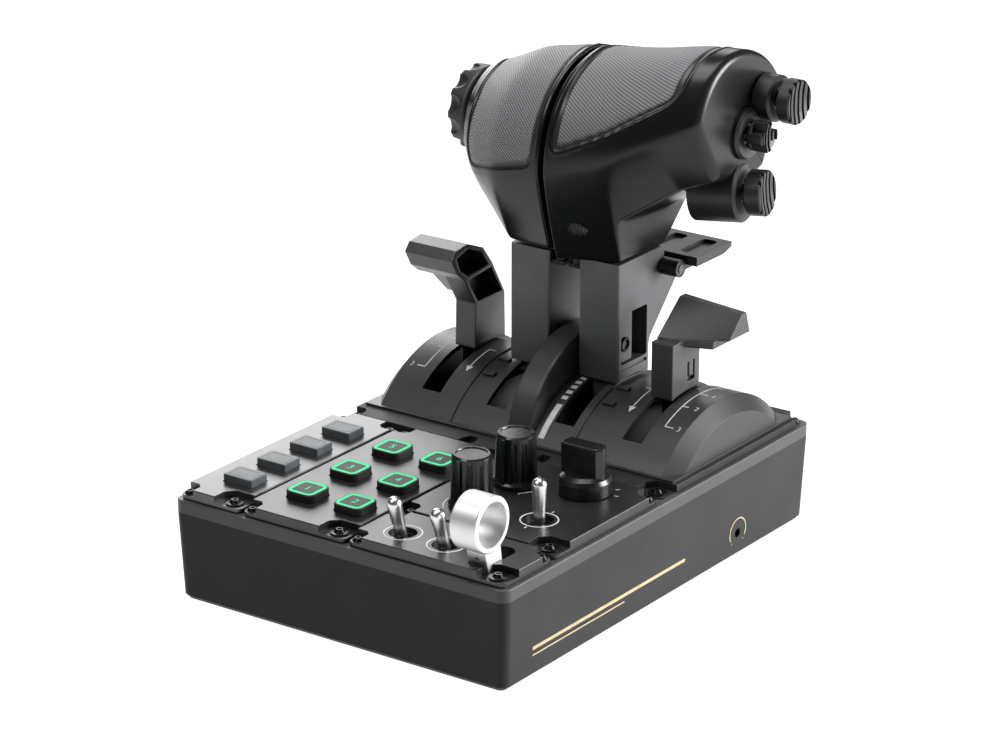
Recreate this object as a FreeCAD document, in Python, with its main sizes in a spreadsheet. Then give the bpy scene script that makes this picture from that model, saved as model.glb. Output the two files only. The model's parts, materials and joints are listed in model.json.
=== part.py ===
# Throttle quadrant: a desk or bench unit with a split pair of throttles, two side levers
# and four panels of switches. Millimetres, X to the right, Y away from the user, Z up,
# origin on the surface under the middle of the base.
import FreeCAD, Part
import math
import os
import Sketcher
from FreeCAD import Placement, Rotation, Vector

os.makedirs("parts", exist_ok=True)
doc = FreeCAD.newDocument("ThrottleQuadrant")

# Driving sizes: alias, value, what it is
driving = [
    ("baseWidth", 200, "overall width at the seam"),
    ("baseDepth", 272.5, "overall depth at the seam"),
    ("footProud", 0.8, "how far the rubber feet stand below the tray"),
    ("seamZ", 47.3, "height of the seam between tray and top frame"),
    ("rimZ", 53.7, "height of the top frame, where the panels lie"),
    ("panelZ", 59.8, "height of the panels' faces"),
    ("deckZ", 58.0, "height of the deck round the quadrant"),
    ("draftSide", 1.85, "tray narrower at the bottom, each side"),
    ("draftEnd", 1.63, "tray shorter at the bottom, each end"),
    ("baseCorner", 5.5, "vertical corner radius of the base"),
    ("trayEdge", 2.4, "bevel of the tray's lower edge"),
    ("trayWall", 2.4, "tray wall and floor"),
    ("panelInset", 2.3, "panels stand in from the rim"),
    ("panelGap", 1.8, "gap between panels"),
    ("shadowGap", 0.8, "rebate under each panel's edge"),
    ("panelCorner", 3.4, "panel corner radius"),
    ("keyPanelEdge", -59.3, "line between key and button panels"),
    ("buttonPanelEdge", 5.1, "line between button and switch panels"),
    ("switchPanelBack", -92.9, "line between switch and rotary panels"),
    ("panelBack", -3.2, "back edge of the front panels"),
    ("deckFront", 0.6, "front edge of the deck"),
    ("ledgeDepth", 3.6, "screw ledges lie this far under the panel face"),
    ("smallLedge", 8.6, "side of a small corner ledge"),
    ("bigLedgeWide", 15.5, "width of a large corner ledge"),
    ("bigLedgeDeep", 12.5, "depth of a large corner ledge"),
    ("screwHead", 5.7, "head of the M3 button screw"),
    ("screwHeadTall", 1.65, "height of that head"),
    ("screwShank", 3.0, "M3 shank"),
    ("screwLong", 9.0, "screw length under the head"),
    ("flangeHead", 9.2, "flange of the large screws"),
    ("hexSocket", 2.0, "hexagon socket across flats"),
    ("keyWide", 17.7, "grey keys, along X"),
    ("keyDeep", 13.0, "grey keys, along Y"),
    ("keyCentre", -76.2, "grey keys' column"),
    ("keyFirst", -109.1, "front grey key"),
    ("keyPitch", 26.2, "grey key pitch"),
    ("capTop", 63.8, "height of key and button tops"),
    ("capSkirt", 57.0, "lower edge of key and button caps"),
    ("capGap", 0.4, "gap round a cap in its panel"),
    ("capTravel", 1.5, "key and button travel"),
    ("buttonSide", 17.0, "square buttons"),
    ("buttonCorner", 4.0, "corner radius of square buttons"),
    ("buttonLeft", -39.1, "left button column"),
    ("buttonRight", -9.9, "right button column"),
    ("buttonFirst", -106.6, "front button row"),
    ("buttonPitch", 34.4, "button row pitch"),
    ("boardTop", 46.2, "top of the switch boards"),
    ("boardThick", 1.6, "circuit board"),
    ("switchTall", 6.2, "push switch body"),
    ("plunger", 4.0, "square plunger under a cap"),
    ("plungerGap", 0.3, "gap round a plunger"),
    ("toggleOneX", 26.7, "left toggle"),
    ("toggleTwoX", 52.2, "middle toggle"),
    ("toggleFrontY", -117.0, "the two front toggles"),
    ("toggleThreeX", 70.4, "back toggle"),
    ("toggleThreeY", -66.1, "back toggle"),
    ("togglePivotZ", 55.0, "toggle ball centre"),
    ("toggleLean", 17.0, "toggle lean each side of upright, degrees"),
    ("toggleLong", 26.5, "toggle length from ball centre to tip"),
    ("toggleTip", 7.8, "toggle diameter near its tip"),
    ("toggleNeck", 5.6, "toggle diameter at the panel"),
    ("toggleHole", 14.0, "panel hole round a toggle"),
    ("ringX", 78.3, "ring lever"),
    ("ringSlotY", -116.3, "middle of the ring lever's slot"),
    ("ringSlotWide", 12.4, "ring lever slot, along X"),
    ("ringSlotLong", 29.0, "ring lever slot, along Y"),
    ("ringOuter", 28.2, "finger ring outside"),
    ("ringInner", 22.8, "finger ring inside"),
    ("ringWide", 15.0, "finger ring width"),
    ("ringReach", 44.0, "finger ring centre from its pivot"),
    ("ringPivotZ", 38.0, "ring lever pivot"),
    ("ringLean", 13.0, "ring lever lean each side of upright, degrees"),
    ("knobOneX", 33.8, "back knob"),
    ("knobOneY", -33.7, "back knob"),
    ("knobTwoX", 32.9, "front knob"),
    ("knobTwoY", -69.5, "front knob"),
    ("knobTall", 26.6, "knob height"),
    ("knobTop", 19.7, "knob diameter at the top"),
    ("knobFoot", 21.2, "knob diameter at the foot"),
    ("knobSkirt", 23.4, "knob skirt"),
    ("knobLift", 0.5, "running gap under knobs"),
    ("selectorX", 68.0, "rotary selector"),
    ("selectorY", -23.8, "rotary selector"),
    ("selectorFoot", 27.0, "selector skirt"),
    ("selectorTall", 25.0, "selector height"),
    ("selectorBar", 9.6, "selector bar width"),
    ("pivotY", 69.2, "throttle axis"),
    ("pivotZ", 14.0, "throttle axis"),
    ("shaftRadius", 4.0, "throttle shaft"),
    ("runningGap", 0.05, "radial gap of hubs on the shaft"),
    ("hubRadius", 9.0, "lever hubs"),
    ("archRadius", 70.0, "quadrant cover outside radius"),
    ("archWall", 2.6, "quadrant cover wall"),
    ("archFlat", 86.8, "half width of the cover's round part"),
    ("archHalf", 93.9, "half width of the cover"),
    ("archEndRadius", 62.3, "cover radius at its ends"),
    ("slotWide", 11.8, "lever slots"),
    ("slotAngle", 38.0, "slots reach this far each side of upright, degrees"),
    ("leverX", 62.2, "side levers"),
    ("bladeX", 21.2, "throttle blades"),
    ("bandInner", 31.5, "inner edge of the sunk band"),
    ("bandOuter", 42.7, "outer edge of the sunk band"),
    ("bandDeep", 0.8, "depth of the sunk band"),
    ("humpHalf", 6.9, "centre hump half width"),
    ("humpZ", 50.0, "centre of the hump's arc"),
    ("humpRadius", 55.5, "centre hump radius"),
    ("armInner", 9.2, "throttle arm, inner face from the middle"),
    ("armOuter", 33.3, "throttle arm, outer face from the middle"),
    ("armFront", 56.0, "front of the arms"),
    ("armBack", 84.0, "back of the arms low down"),
    ("armTop", 147.4, "top of the arms under the grips"),
    ("armClear", 1.6, "arm clears the cover by this"),
    ("bladeThick", 9.0, "throttle blades in their slots"),
    ("throttleTravel", 25.0, "throttle travel each way, degrees"),
    ("gripSplit", 1.6, "half the gap between the two grips"),
    ("gripFront", 33.5, "front of the grips"),
    ("gripDepth", 100.0, "grips, front to back"),
    ("gripHeight", 107.0, "grips, bottom to top"),
    ("gripLeftEnd", 72.0, "left end of the left grip"),
    ("gripRightEnd", 77.0, "right end of the right grip"),
    ("dialRadius", 22.4, "thumb dial"),
    ("dialWide", 12.0, "thumb dial"),
    ("dialY", 92.5, "dial centre"),
    ("dialZ", 203.0, "dial centre"),
    ("postHalf", 6.3, "side lever post half thickness"),
    ("leverReach", 30.0, "side lever handle length"),
    ("leverTravel", 24.0, "side lever travel each way, degrees"),
    ("leverWall", 1.5, "wall of the hollow handle"),
]

sheet = doc.addObject("Spreadsheet::Sheet", "Sizes")
for row, (alias, value, note) in enumerate(driving, start=1):
    sheet.set("A%d" % row, note)
    sheet.set("B%d" % row, str(value))
    sheet.setAlias("B%d" % row, alias)
doc.recompute()


class Size:
    """A number together with the sheet expression that gives it."""

    def __init__(self, value, text):
        self.value = value
        self.text = text

    def __add__(self, other):
        other = asSize(other)
        return Size(self.value + other.value, "(%s + %s)" % (self.text, other.text))

    def __sub__(self, other):
        other = asSize(other)
        return Size(self.value - other.value, "(%s - %s)" % (self.text, other.text))

    def __mul__(self, other):
        other = asSize(other)
        return Size(self.value * other.value, "(%s * %s)" % (self.text, other.text))

    def __truediv__(self, other):
        other = asSize(other)
        return Size(self.value / other.value, "(%s / %s)" % (self.text, other.text))

    def __radd__(self, other):
        return asSize(other) + self

    def __rsub__(self, other):
        return asSize(other) - self

    def __rmul__(self, other):
        return asSize(other) * self

    def __neg__(self):
        return Size(-self.value, "(0 - %s)" % self.text)

    def root(self):
        return Size(math.sqrt(self.value), "sqrt(%s)" % self.text)


def asSize(number):
    if isinstance(number, Size):
        return number
    return Size(float(number), "(%.6f)" % number)


def sine(angle):
    return Size(math.sin(math.radians(angle.value)), "sin(%s * 1deg)" % angle.text)


def cosine(angle):
    return Size(math.cos(math.radians(angle.value)), "cos(%s * 1deg)" % angle.text)


class Sheet:
    """Reads a named size: sz.baseWidth is that cell as a Size."""

    def __getattr__(self, alias):
        return Size(float(sheet.get(alias)), "Sizes.%s" % alias)


sz = Sheet()
nodes = {}


def bind(thing, prop, size):
    thing.setExpression(prop, asSize(size).text)


def turnAbout(thing, axis, angle):
    """Turns a placed thing about an axis through its own origin."""
    thing.Placement = Placement(thing.Placement.Base, Rotation(axis, 1))
    bind(thing, "Placement.Rotation.Angle", angle)


def place(thing, x=0, y=0, z=0):
    for axis, size in zip("xyz", (x, y, z)):
        bind(thing, "Placement.Base." + axis, size)


# Sketch outlines ----------------------------------------------------------------

def pin(sketch, geo, pos, x, y):
    """Fixes a point of the sketch at (x, y) from named sizes."""
    for kind, size in (("DistanceX", x), ("DistanceY", y)):
        size = asSize(size)
        number = sketch.addConstraint(Sketcher.Constraint(kind, geo, pos, size.value))
        sketch.setExpression("Constraints[%d]" % number, size.text)


def bindRadius(sketch, geo, size):
    number = sketch.addConstraint(Sketcher.Constraint("Radius", geo, asSize(size).value))
    sketch.setExpression("Constraints[%d]" % number, asSize(size).text)


def circle(x, y, radius):
    def draw(sketch):
        centre = Vector(asSize(x).value, asSize(y).value, 0)
        geo = sketch.addGeometry(Part.Circle(centre, Vector(0, 0, 1), asSize(radius).value))
        pin(sketch, geo, 3, x, y)
        bindRadius(sketch, geo, radius)
    return draw


def outline(*corners):
    """A closed outline. A corner is (x, y), or (x, y, radius) where it is rounded."""
    def draw(sketch):
        count = len(corners)
        points = [Vector(asSize(c[0]).value, asSize(c[1]).value, 0) for c in corners]
        radii = [asSize(c[2]) if len(c) > 2 else None for c in corners]
        starts, ends, turns = [], [], []
        for k in range(count):
            before = (points[k - 1] - points[k]).normalize()
            after = (points[(k + 1) % count] - points[k]).normalize()
            turns.append(after.x * -before.y - after.y * -before.x)
            reach = 0
            if radii[k]:
                reach = radii[k].value / math.tan(before.getAngle(after) / 2)
            ends.append(points[k] + before * reach)
            starts.append(points[k] + after * reach)
        lines = []
        for k in range(count):
            lines.append(sketch.addGeometry(Part.LineSegment(starts[k], ends[(k + 1) % count])))
        for k in range(count):
            previous, line = lines[k - 1], lines[k]
            if not radii[k]:
                sketch.addConstraint(Sketcher.Constraint("Coincident", previous, 2, line, 1))
                pin(sketch, line, 1, corners[k][0], corners[k][1])
                continue
            corner = sketch.addGeometry(Part.Point(points[k]), True)
            pin(sketch, corner, 1, corners[k][0], corners[k][1])
            sketch.addConstraint(Sketcher.Constraint("PointOnObject", corner, 1, previous))
            sketch.addConstraint(Sketcher.Constraint("PointOnObject", corner, 1, line))
            inward = (ends[k] + starts[k]) / 2 - points[k]
            middle = points[k] + inward.normalize() * math.hypot(
                radii[k].value, (ends[k] - points[k]).Length)
            around = Part.Circle(middle, Vector(0, 0, 1), radii[k].value)
            first, last = (ends[k], starts[k]) if turns[k] < 0 else (starts[k], ends[k])
            arc = sketch.addGeometry(Part.ArcOfCircle(
                around, around.parameter(first), around.parameter(last)))
            atPrevious, atLine = (1, 2) if turns[k] < 0 else (2, 1)
            sketch.addConstraint(Sketcher.Constraint("Tangent", previous, 2, arc, atPrevious))
            sketch.addConstraint(Sketcher.Constraint("Tangent", arc, atLine, line, 1))
            bindRadius(sketch, arc, radii[k])
    return draw


def rectangle(x0, y0, x1, y1, radius=None):
    ends = (radius,) if radius is not None else ()
    return outline((x0, y0) + ends, (x1, y0) + ends, (x1, y1) + ends, (x0, y1) + ends)


def centredRectangle(x, y, wide, deep, radius=None):
    return rectangle(x - wide / 2, y - deep / 2, x + wide / 2, y + deep / 2, radius)


def curved(*corners):
    """A closed outline of arcs. A corner is (x, y, bulge) and the bulge, the tangent of a
    quarter of the arc's angle, bends the edge that leaves it; 0 is a straight edge."""
    def draw(sketch):
        count = len(corners)
        edges = []
        for k in range(count):
            x, y, bulge = corners[k]
            nextX, nextY = corners[(k + 1) % count][:2]
            first = Vector(asSize(x).value, asSize(y).value, 0)
            last = Vector(asSize(nextX).value, asSize(nextY).value, 0)
            if bulge == 0:
                edges.append((sketch.addGeometry(Part.LineSegment(first, last)), 1, 2))
                continue
            chord = last - first
            aside = Vector(chord.y, -chord.x, 0) * (bulge / 2)
            arc = sketch.addGeometry(Part.Arc(first, (first + last) / 2 + aside, last))
            edges.append((arc, 1, 2) if bulge > 0 else (arc, 2, 1))
            dx = asSize(nextX) - x
            dy = asSize(nextY) - y
            length = (dx * dx + dy * dy).root()
            bindRadius(sketch, arc, length * ((1 + bulge * bulge) / (4 * abs(bulge))))
        for k in range(count):
            before, edge = edges[k - 1], edges[k]
            sketch.addConstraint(Sketcher.Constraint("Coincident", before[0], before[2],
                                                     edge[0], edge[1]))
            pin(sketch, edge[0], edge[1], corners[k][0], corners[k][1])
    return draw


# Pieces -------------------------------------------------------------------------

class Piece:
    """One PartDesign body, built from sketches on its own origin planes."""

    def __init__(self, label):
        self.body = doc.addObject("PartDesign::Body", label)
        self.body.Label = label
        nodes[label] = self.body

    def sketch(self, plane, offset, loops):
        support = [f for f in self.body.Origin.OriginFeatures if f.Role == plane + "_Plane"][0]
        sketch = self.body.newObject("Sketcher::SketchObject", self.body.Name + "Sketch")
        sketch.AttachmentSupport = [(support, "")]
        sketch.MapMode = "FlatFace"
        bind(sketch, "AttachmentOffset.Base.z", offset)
        for draw in loops:
            draw(sketch)
        return sketch

    def raised(self, kind, plane, low, high, loops):
        # XZ sketches face -Y, so a pad there starts at its high end
        turned = plane == "XZ"
        adds = kind == "Pad"
        if turned:
            offset = -asSize(high) if adds else -asSize(low)
        else:
            offset = asSize(low) if adds else asSize(high)
        feature = self.body.newObject("PartDesign::" + kind, self.body.Name + kind)
        feature.Profile = self.sketch(plane, offset, loops)
        bind(feature, "Length", asSize(high) - low)
        doc.recompute()
        return feature

    def pad(self, plane, low, high, *loops):
        return self.raised("Pad", plane, low, high, loops)

    def cut(self, plane, low, high, *loops):
        return self.raised("Pocket", plane, low, high, loops)

    def turn(self, loop, kind="Revolution"):
        feature = self.body.newObject("PartDesign::" + kind, self.body.Name + kind)
        feature.Profile = self.sketch("XZ", 0, [loop])
        feature.ReferenceAxis = (feature.Profile[0], ["V_Axis"])
        feature.Angle = 360
        doc.recompute()
        return feature

    def loft(self, kind, plane, sections):
        sketches = [self.sketch(plane, offset, [loop]) for offset, loop in sections]
        feature = self.body.newObject("PartDesign::" + kind, self.body.Name + kind)
        feature.Profile = sketches[0]
        feature.Sections = sketches[1:]
        doc.recompute()
        return feature

    def around(self, feature, count, axis="Z"):
        ring = self.body.newObject("PartDesign::PolarPattern", self.body.Name + "Ring")
        ring.Originals = [feature]
        ring.Axis = ([f for f in self.body.Origin.OriginFeatures if f.Role == axis + "_Axis"][0],
                     [""])
        ring.Angle = 360
        ring.Occurrences = count
        self.body.Tip = ring
        doc.recompute()
        return ring

    def soften(self, radius, chosen, kind="Fillet"):
        """Fillets or chamfers the edges that the test picks."""
        tip = self.body.Tip
        names = ["Edge%d" % (k + 1) for k, edge in enumerate(tip.Shape.Edges) if chosen(edge)]
        feature = self.body.newObject("PartDesign::" + kind, self.body.Name + kind)
        feature.Base = (tip, names)
        bind(feature, "Radius" if kind == "Fillet" else "Size", radius)
        doc.recompute()
        return feature


def block(name, x0, x1, y0, y1, z0, z1):
    thing = doc.addObject("Part::Box", name)
    bind(thing, "Length", asSize(x1) - x0)
    bind(thing, "Width", asSize(y1) - y0)
    bind(thing, "Height", asSize(z1) - z0)
    place(thing, x0, y0, z0)
    return thing


def rod(name, x, y, low, high, radius):
    """An upright cylinder."""
    thing = doc.addObject("Part::Cylinder", name)
    bind(thing, "Radius", radius)
    bind(thing, "Height", asSize(high) - low)
    place(thing, x, y, low)
    return thing


def crossRod(name, low, high, y, z, radius):
    """A cylinder along X."""
    thing = doc.addObject("Part::Cylinder", name)
    bind(thing, "Radius", radius)
    bind(thing, "Height", asSize(high) - low)
    thing.Placement = Placement(Vector(), Rotation(Vector(0, 1, 0), 90))
    place(thing, low, y, z)
    return thing


def join(name, kind, things):
    whole = doc.addObject("Part::" + kind, name)
    if kind == "Compound":
        whole.Links = things
    elif kind == "Cut":
        whole.Base, whole.Tool = things
    else:
        whole.Shapes = things
    return whole


def node(label, thing):
    thing.Label = label
    nodes[label] = thing
    return thing


# Base ---------------------------------------------------------------------------

sideX = sz.baseWidth / 2
endY = sz.baseDepth / 2
archFootHalf = ((sz.archRadius * sz.archRadius)
                - (sz.deckZ - sz.pivotZ) * (sz.deckZ - sz.pivotZ)).root()
leverSlots = [("left", -sz.leverX), ("inner_left", -sz.bladeX),
              ("inner_right", sz.bladeX), ("right", sz.leverX)]


def baseOutline(inSide, inEnd, radius):
    return rectangle(inSide - sideX, inEnd - endY, sideX - inSide, endY - inEnd, radius)


def makeTray():
    """The drafted tray: walls, floor, shaft bosses, mounting bosses and the rear inlet."""
    tray = Piece("base_tray")
    wall = sz.trayWall
    bevel = sz.trayEdge
    tray.loft("AdditiveLoft", "XY", [
        (sz.footProud, baseOutline(sz.draftSide + bevel, sz.draftEnd + bevel,
                                   sz.baseCorner - bevel)),
        (sz.footProud + bevel, baseOutline(sz.draftSide, sz.draftEnd, sz.baseCorner))])
    tray.loft("AdditiveLoft", "XY", [
        (sz.footProud + bevel, baseOutline(sz.draftSide, sz.draftEnd, sz.baseCorner)),
        (sz.seamZ, baseOutline(0, 0, sz.baseCorner))])
    tray.loft("SubtractiveLoft", "XY", [
        (floorZ, baseOutline(sz.draftSide + wall, sz.draftEnd + wall, sz.baseCorner - wall)),
        (sz.seamZ + 1, baseOutline(wall, wall, sz.baseCorner - wall))])
    corners = [(x, y) for x in (-mountX, mountX) for y in (-mountY, mountY)]
    tray.pad("XY", floorZ, floorZ + mountBoss, *[circle(x, y, sz.trayWall + 3.2)
                                                 for x, y in corners])
    tray.cut("XY", 0, floorZ + mountBoss + 1, *[circle(x, y, mountHole) for x, y in corners])
    posts = [(x, y) for x in (-postX, postX) for y in (-postY, postY)]
    tray.pad("XY", floorZ, sz.seamZ, *[circle(x, y, 4.2) for x, y in posts])
    tray.cut("XY", sz.seamZ - 14, sz.seamZ + 1, *[circle(x, y, 1.25) for x, y in posts])
    tray.pad("XY", floorZ, boardZ, *[circle(x, y, 3) for x, y in boardPosts])
    tray.cut("YZ", sideX - wall - 3, sideX + 1, circle(sz.pivotY, sz.pivotZ, adjusterHole))
    tray.cut("XZ", endY - wall - 3, endY + 1,
             centredRectangle(inletX, inletZ, inletWide, inletTall, 0.2))
    feet = footPlaces
    tray.cut("XY", sz.footProud - 1, sz.footProud + 0.8, *[circle(x, y, footRadius + 0.2)
                                                           for x, y in feet])


floorZ = sz.footProud + sz.trayWall
mountX = asSize(60)
mountY = asSize(90)
mountBoss = asSize(9)
mountHole = asSize(2.5)
postX = sideX - 9.2
postY = endY - 9.2
boardZ = sz.footProud + sz.trayWall + 5
boardPosts = [(x, y) for x in (-42, 42) for y in (-110, -40)]
adjusterHole = asSize(2.5)
inletX = asSize(-45)
inletZ = asSize(24)
inletWide = asSize(9.4)
inletTall = asSize(6.4)
footRadius = asSize(9)
footPlaces = [(x, y) for x in (20 - sideX, sideX - 20) for y in (20 - endY, endY - 20)]
makeTray()


def makeFrame():
    """The top frame: the band round the rim, with slots for the levers and a hole for
    each switch, and a lip that locates it inside the tray."""
    frame = Piece("top_frame")
    frame.pad("XY", sz.seamZ, sz.rimZ, baseOutline(0, 0, sz.baseCorner))
    edge = sz.rimZ.value
    frame.soften(0.7, lambda e: e.BoundBox.ZMin > edge - 0.01)
    lip = sz.trayWall + 0.2
    frame.pad("XY", sz.seamZ - 3, sz.seamZ, baseOutline(lip, lip, sz.baseCorner - lip),
              baseOutline(lip + 2, lip + 2, 1.0))
    low, high = sz.seamZ - 4, sz.rimZ + 1
    frame.cut("XY", low, high, *[slotOutline(x) for name, x in leverSlots])
    frame.cut("XY", low, high, *[
        centredRectangle(x, y, switchWide + 2, switchWide + 2, 1)
        for x, y in keyPlaces + buttonPlaces])
    frame.cut("XY", low, high, *[
        centredRectangle(x, y, toggleBody + 1.5, toggleBody + 7.5, 1)
        for x, y in togglePlaces])
    frame.cut("XY", low, high, *[circle(x, y, encoderBody / 2 + 0.8) for x, y in knobPlaces],
              circle(sz.selectorX, sz.selectorY, selectorBody / 2 + 0.8),
              centredRectangle(sz.ringX, sz.ringSlotY, sz.ringSlotWide + 4,
                               sz.ringSlotLong + 3, 1))
    frame.cut("XY", low, high, *[circle(x, y, 1.7) for x, y in boardStands])
    frame.cut("XY", low, high, *[circle(x, y, sz.screwShank / 2 + 0.05)
                                 for x, y, seat in smallScrews + bigScrews])


def slotOutline(x):
    """Opening under the quadrant: as long as the lever's sweep at the frame's top."""
    half = (sz.deckZ - sz.pivotZ) * (sine(sz.slotAngle) / cosine(sz.slotAngle))
    return centredRectangle(x, sz.pivotY, sz.slotWide, half * 2, 2)


switchWide = asSize(12)
toggleBody = asSize(13)
encoderBody = asSize(14)
selectorBody = asSize(22)
keyPlaces = [(sz.keyCentre, sz.keyFirst + sz.keyPitch * k) for k in range(4)]
buttonPlaces = [(x, sz.buttonFirst + sz.buttonPitch * k)
                for k in range(3) for x in (sz.buttonLeft, sz.buttonRight)]
togglePlaces = [(sz.toggleOneX, sz.toggleFrontY), (sz.toggleTwoX, sz.toggleFrontY),
                (sz.toggleThreeX, sz.toggleThreeY)]
knobPlaces = [(sz.knobOneX, sz.knobOneY), (sz.knobTwoX, sz.knobTwoY)]
boardStands = [(x, y) for x in (sz.keyCentre - 13, sz.keyCentre + 13)
               for y in (sz.keyFirst - 9, sz.keyFirst + sz.keyPitch * 3 + 9)]
boardStands += [(sz.buttonLeft - 14, y) for y in (sz.buttonFirst - 13,
                                                  sz.buttonFirst + sz.buttonPitch * 2 + 13)]
boardStands += [(sz.buttonRight + 11, y) for y in (sz.buttonFirst - 13,
                                                   sz.buttonFirst + sz.buttonPitch * 2 + 13)]


# Panels -------------------------------------------------------------------------

gap = sz.panelGap / 2
panelLeft = sz.panelInset - sideX
panelRight = sideX - sz.panelInset
panelFront = sz.panelInset - endY
panelRear = endY - sz.panelInset
smallScrews = []
bigScrews = []


def makePanel(label, x0, x1, y0, y1, top, big, small):
    """One panel: a rebated plate with a sunk ledge for the screw in each corner. The
    large ledge takes a flanged screw, and its corner is named by its two signs."""
    panel = Piece(label)
    rebate = sz.shadowGap
    panel.pad("XY", sz.rimZ, sz.rimZ + rebate,
              rectangle(x0 + rebate, y0 + rebate, x1 - rebate, y1 - rebate,
                        sz.panelCorner - rebate))
    panel.pad("XY", sz.rimZ + rebate, top, rectangle(x0, y0, x1, y1, sz.panelCorner))
    edge = top.value
    panel.soften(0.5, lambda e: e.BoundBox.ZMin > edge - 0.01)
    ledgeZ = top - sz.ledgeDepth
    for signX, signY in big + small:
        isBig = (signX, signY) in big
        wide = sz.bigLedgeWide if isBig else sz.smallLedge
        deep = sz.bigLedgeDeep if isBig else sz.smallLedge
        cornerX = x1 if signX > 0 else x0
        cornerY = y1 if signY > 0 else y0
        farX = cornerX + 1 * signX
        farY = cornerY + 1 * signY
        inX = cornerX - wide * signX
        inY = cornerY - deep * signY
        slope = deep / 3
        panel.cut("XY", ledgeZ, top + 1, outline(
            (farX, farY), (inX, farY), (inX, inY + slope * signY),
            (inX + slope * signX, inY), (farX, inY)))
        share = 0.46 if isBig else 0.44
        spot = (cornerX - wide * (share * signX), cornerY - deep * (share * signY))
        panel.cut("XY", sz.rimZ, top, circle(spot[0], spot[1], sz.screwShank / 2 + 0.2))
        (bigScrews if isBig else smallScrews).append(spot + (ledgeZ,))
    return panel


frontPlaces = [(-1, -1), (-1, 1), (1, 1)]
bushRadius = asSize(4.5)
keyPanel = makePanel("key_panel", panelLeft, sz.keyPanelEdge - gap, panelFront, sz.panelBack,
                     sz.panelZ, [(1, -1)], frontPlaces)
keyPanel.cut("XY", sz.rimZ - 1, sz.panelZ + 1, *[
    centredRectangle(x, y, sz.keyWide + sz.capGap * 2, sz.keyDeep + sz.capGap * 2, 0.8)
    for x, y in keyPlaces])
buttonPanel = makePanel("button_panel", sz.keyPanelEdge + gap, sz.buttonPanelEdge - gap,
                        panelFront, sz.panelBack, sz.panelZ, [(1, -1)], frontPlaces)
buttonPanel.cut("XY", sz.rimZ - 1, sz.panelZ + 1, *[
    centredRectangle(x, y, sz.buttonSide + sz.capGap * 2, sz.buttonSide + sz.capGap * 2,
                     sz.buttonCorner + sz.capGap)
    for x, y in buttonPlaces])
switchPanel = makePanel("switch_panel", sz.buttonPanelEdge + gap, panelRight, panelFront,
                        sz.switchPanelBack - gap, sz.panelZ, [(1, -1)], frontPlaces)
switchPanel.cut("XY", sz.rimZ - 1, sz.panelZ + 1,
                *[circle(x, y, sz.toggleHole / 2) for x, y in togglePlaces[:2]],
                centredRectangle(sz.ringX, sz.ringSlotY, sz.ringSlotWide, sz.ringSlotLong,
                                 sz.ringSlotWide / 2.1))
rotaryPanel = makePanel("rotary_panel", sz.buttonPanelEdge + gap, panelRight,
                        sz.switchPanelBack + gap, sz.panelBack, sz.panelZ, [(1, -1)],
                        frontPlaces)
rotaryPanel.cut("XY", sz.rimZ - 1, sz.panelZ + 1,
                circle(sz.toggleThreeX, sz.toggleThreeY, sz.toggleHole / 2),
                *[circle(x, y, bushRadius + 0.15) for x, y in
                  knobPlaces + [(sz.selectorX, sz.selectorY)]])


def makeDeck():
    """The rear plate round the quadrant, with the lever slots cut through it."""
    deck = makePanel("deck_plate", panelLeft, panelRight, sz.deckFront, panelRear, sz.deckZ,
                     [(1, -1)], frontPlaces)
    deck.cut("XY", sz.rimZ - 1, sz.deckZ + 1, *[slotOutline(x) for name, x in leverSlots])
    for x in (-deckNotchX, deckNotchX):
        half = sz.smallLedge / 2
        deck.cut("XY", sz.deckZ - sz.ledgeDepth, sz.deckZ + 1, outline(
            (x - half, sz.deckFront - 1), (x + half, sz.deckFront - 1),
            (x + half, sz.deckFront + half), (x + half / 2, sz.deckFront + sz.smallLedge),
            (x - half / 2, sz.deckFront + sz.smallLedge), (x - half, sz.deckFront + half)))
        spot = (x, sz.deckFront + sz.smallLedge * 0.5)
        deck.cut("XY", sz.rimZ, sz.deckZ, circle(spot[0], spot[1], sz.screwShank / 2 + 0.2))
        smallScrews.append(spot + (sz.deckZ - sz.ledgeDepth,))


deckNotchX = asSize(22.4)
makeDeck()
makeFrame()


def makeScrews():
    """Button screws for the small ledges and flanged screws for the large ones."""
    screws = []
    for k, (x, y, seat) in enumerate(smallScrews + bigScrews):
        flanged = k >= len(smallScrews)
        tag = str(k)
        shank = rod("shank" + tag, x, y, seat - sz.screwLong + 2, seat + 0.2,
                    sz.screwShank / 2)
        head = doc.addObject("Part::Cone", "head" + tag)
        bind(head, "Radius1", sz.screwHead / 2)
        bind(head, "Radius2", sz.screwHead / 3.2)
        bind(head, "Height", sz.screwHeadTall)
        place(head, x, y, seat + (0.7 if flanged else 0))
        parts = [shank, head]
        if flanged:
            parts.append(rod("flange" + tag, x, y, seat, seat + 0.8, sz.flangeHead / 2))
        socket = doc.addObject("Part::Prism", "socket" + tag)
        socket.Polygon = 6
        bind(socket, "Circumradius", sz.hexSocket / 1.732)
        bind(socket, "Height", sz.screwHeadTall)
        place(socket, x, y, seat + 0.9 + (0.7 if flanged else 0))
        screws.append(join("screw" + tag, "Cut",
                           [join("screwBlank" + tag, "MultiFuse", parts), socket]))
    node("panel_screws", join("panelScrews", "Compound", screws))


makeScrews()


# Keys and buttons ---------------------------------------------------------------

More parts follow.
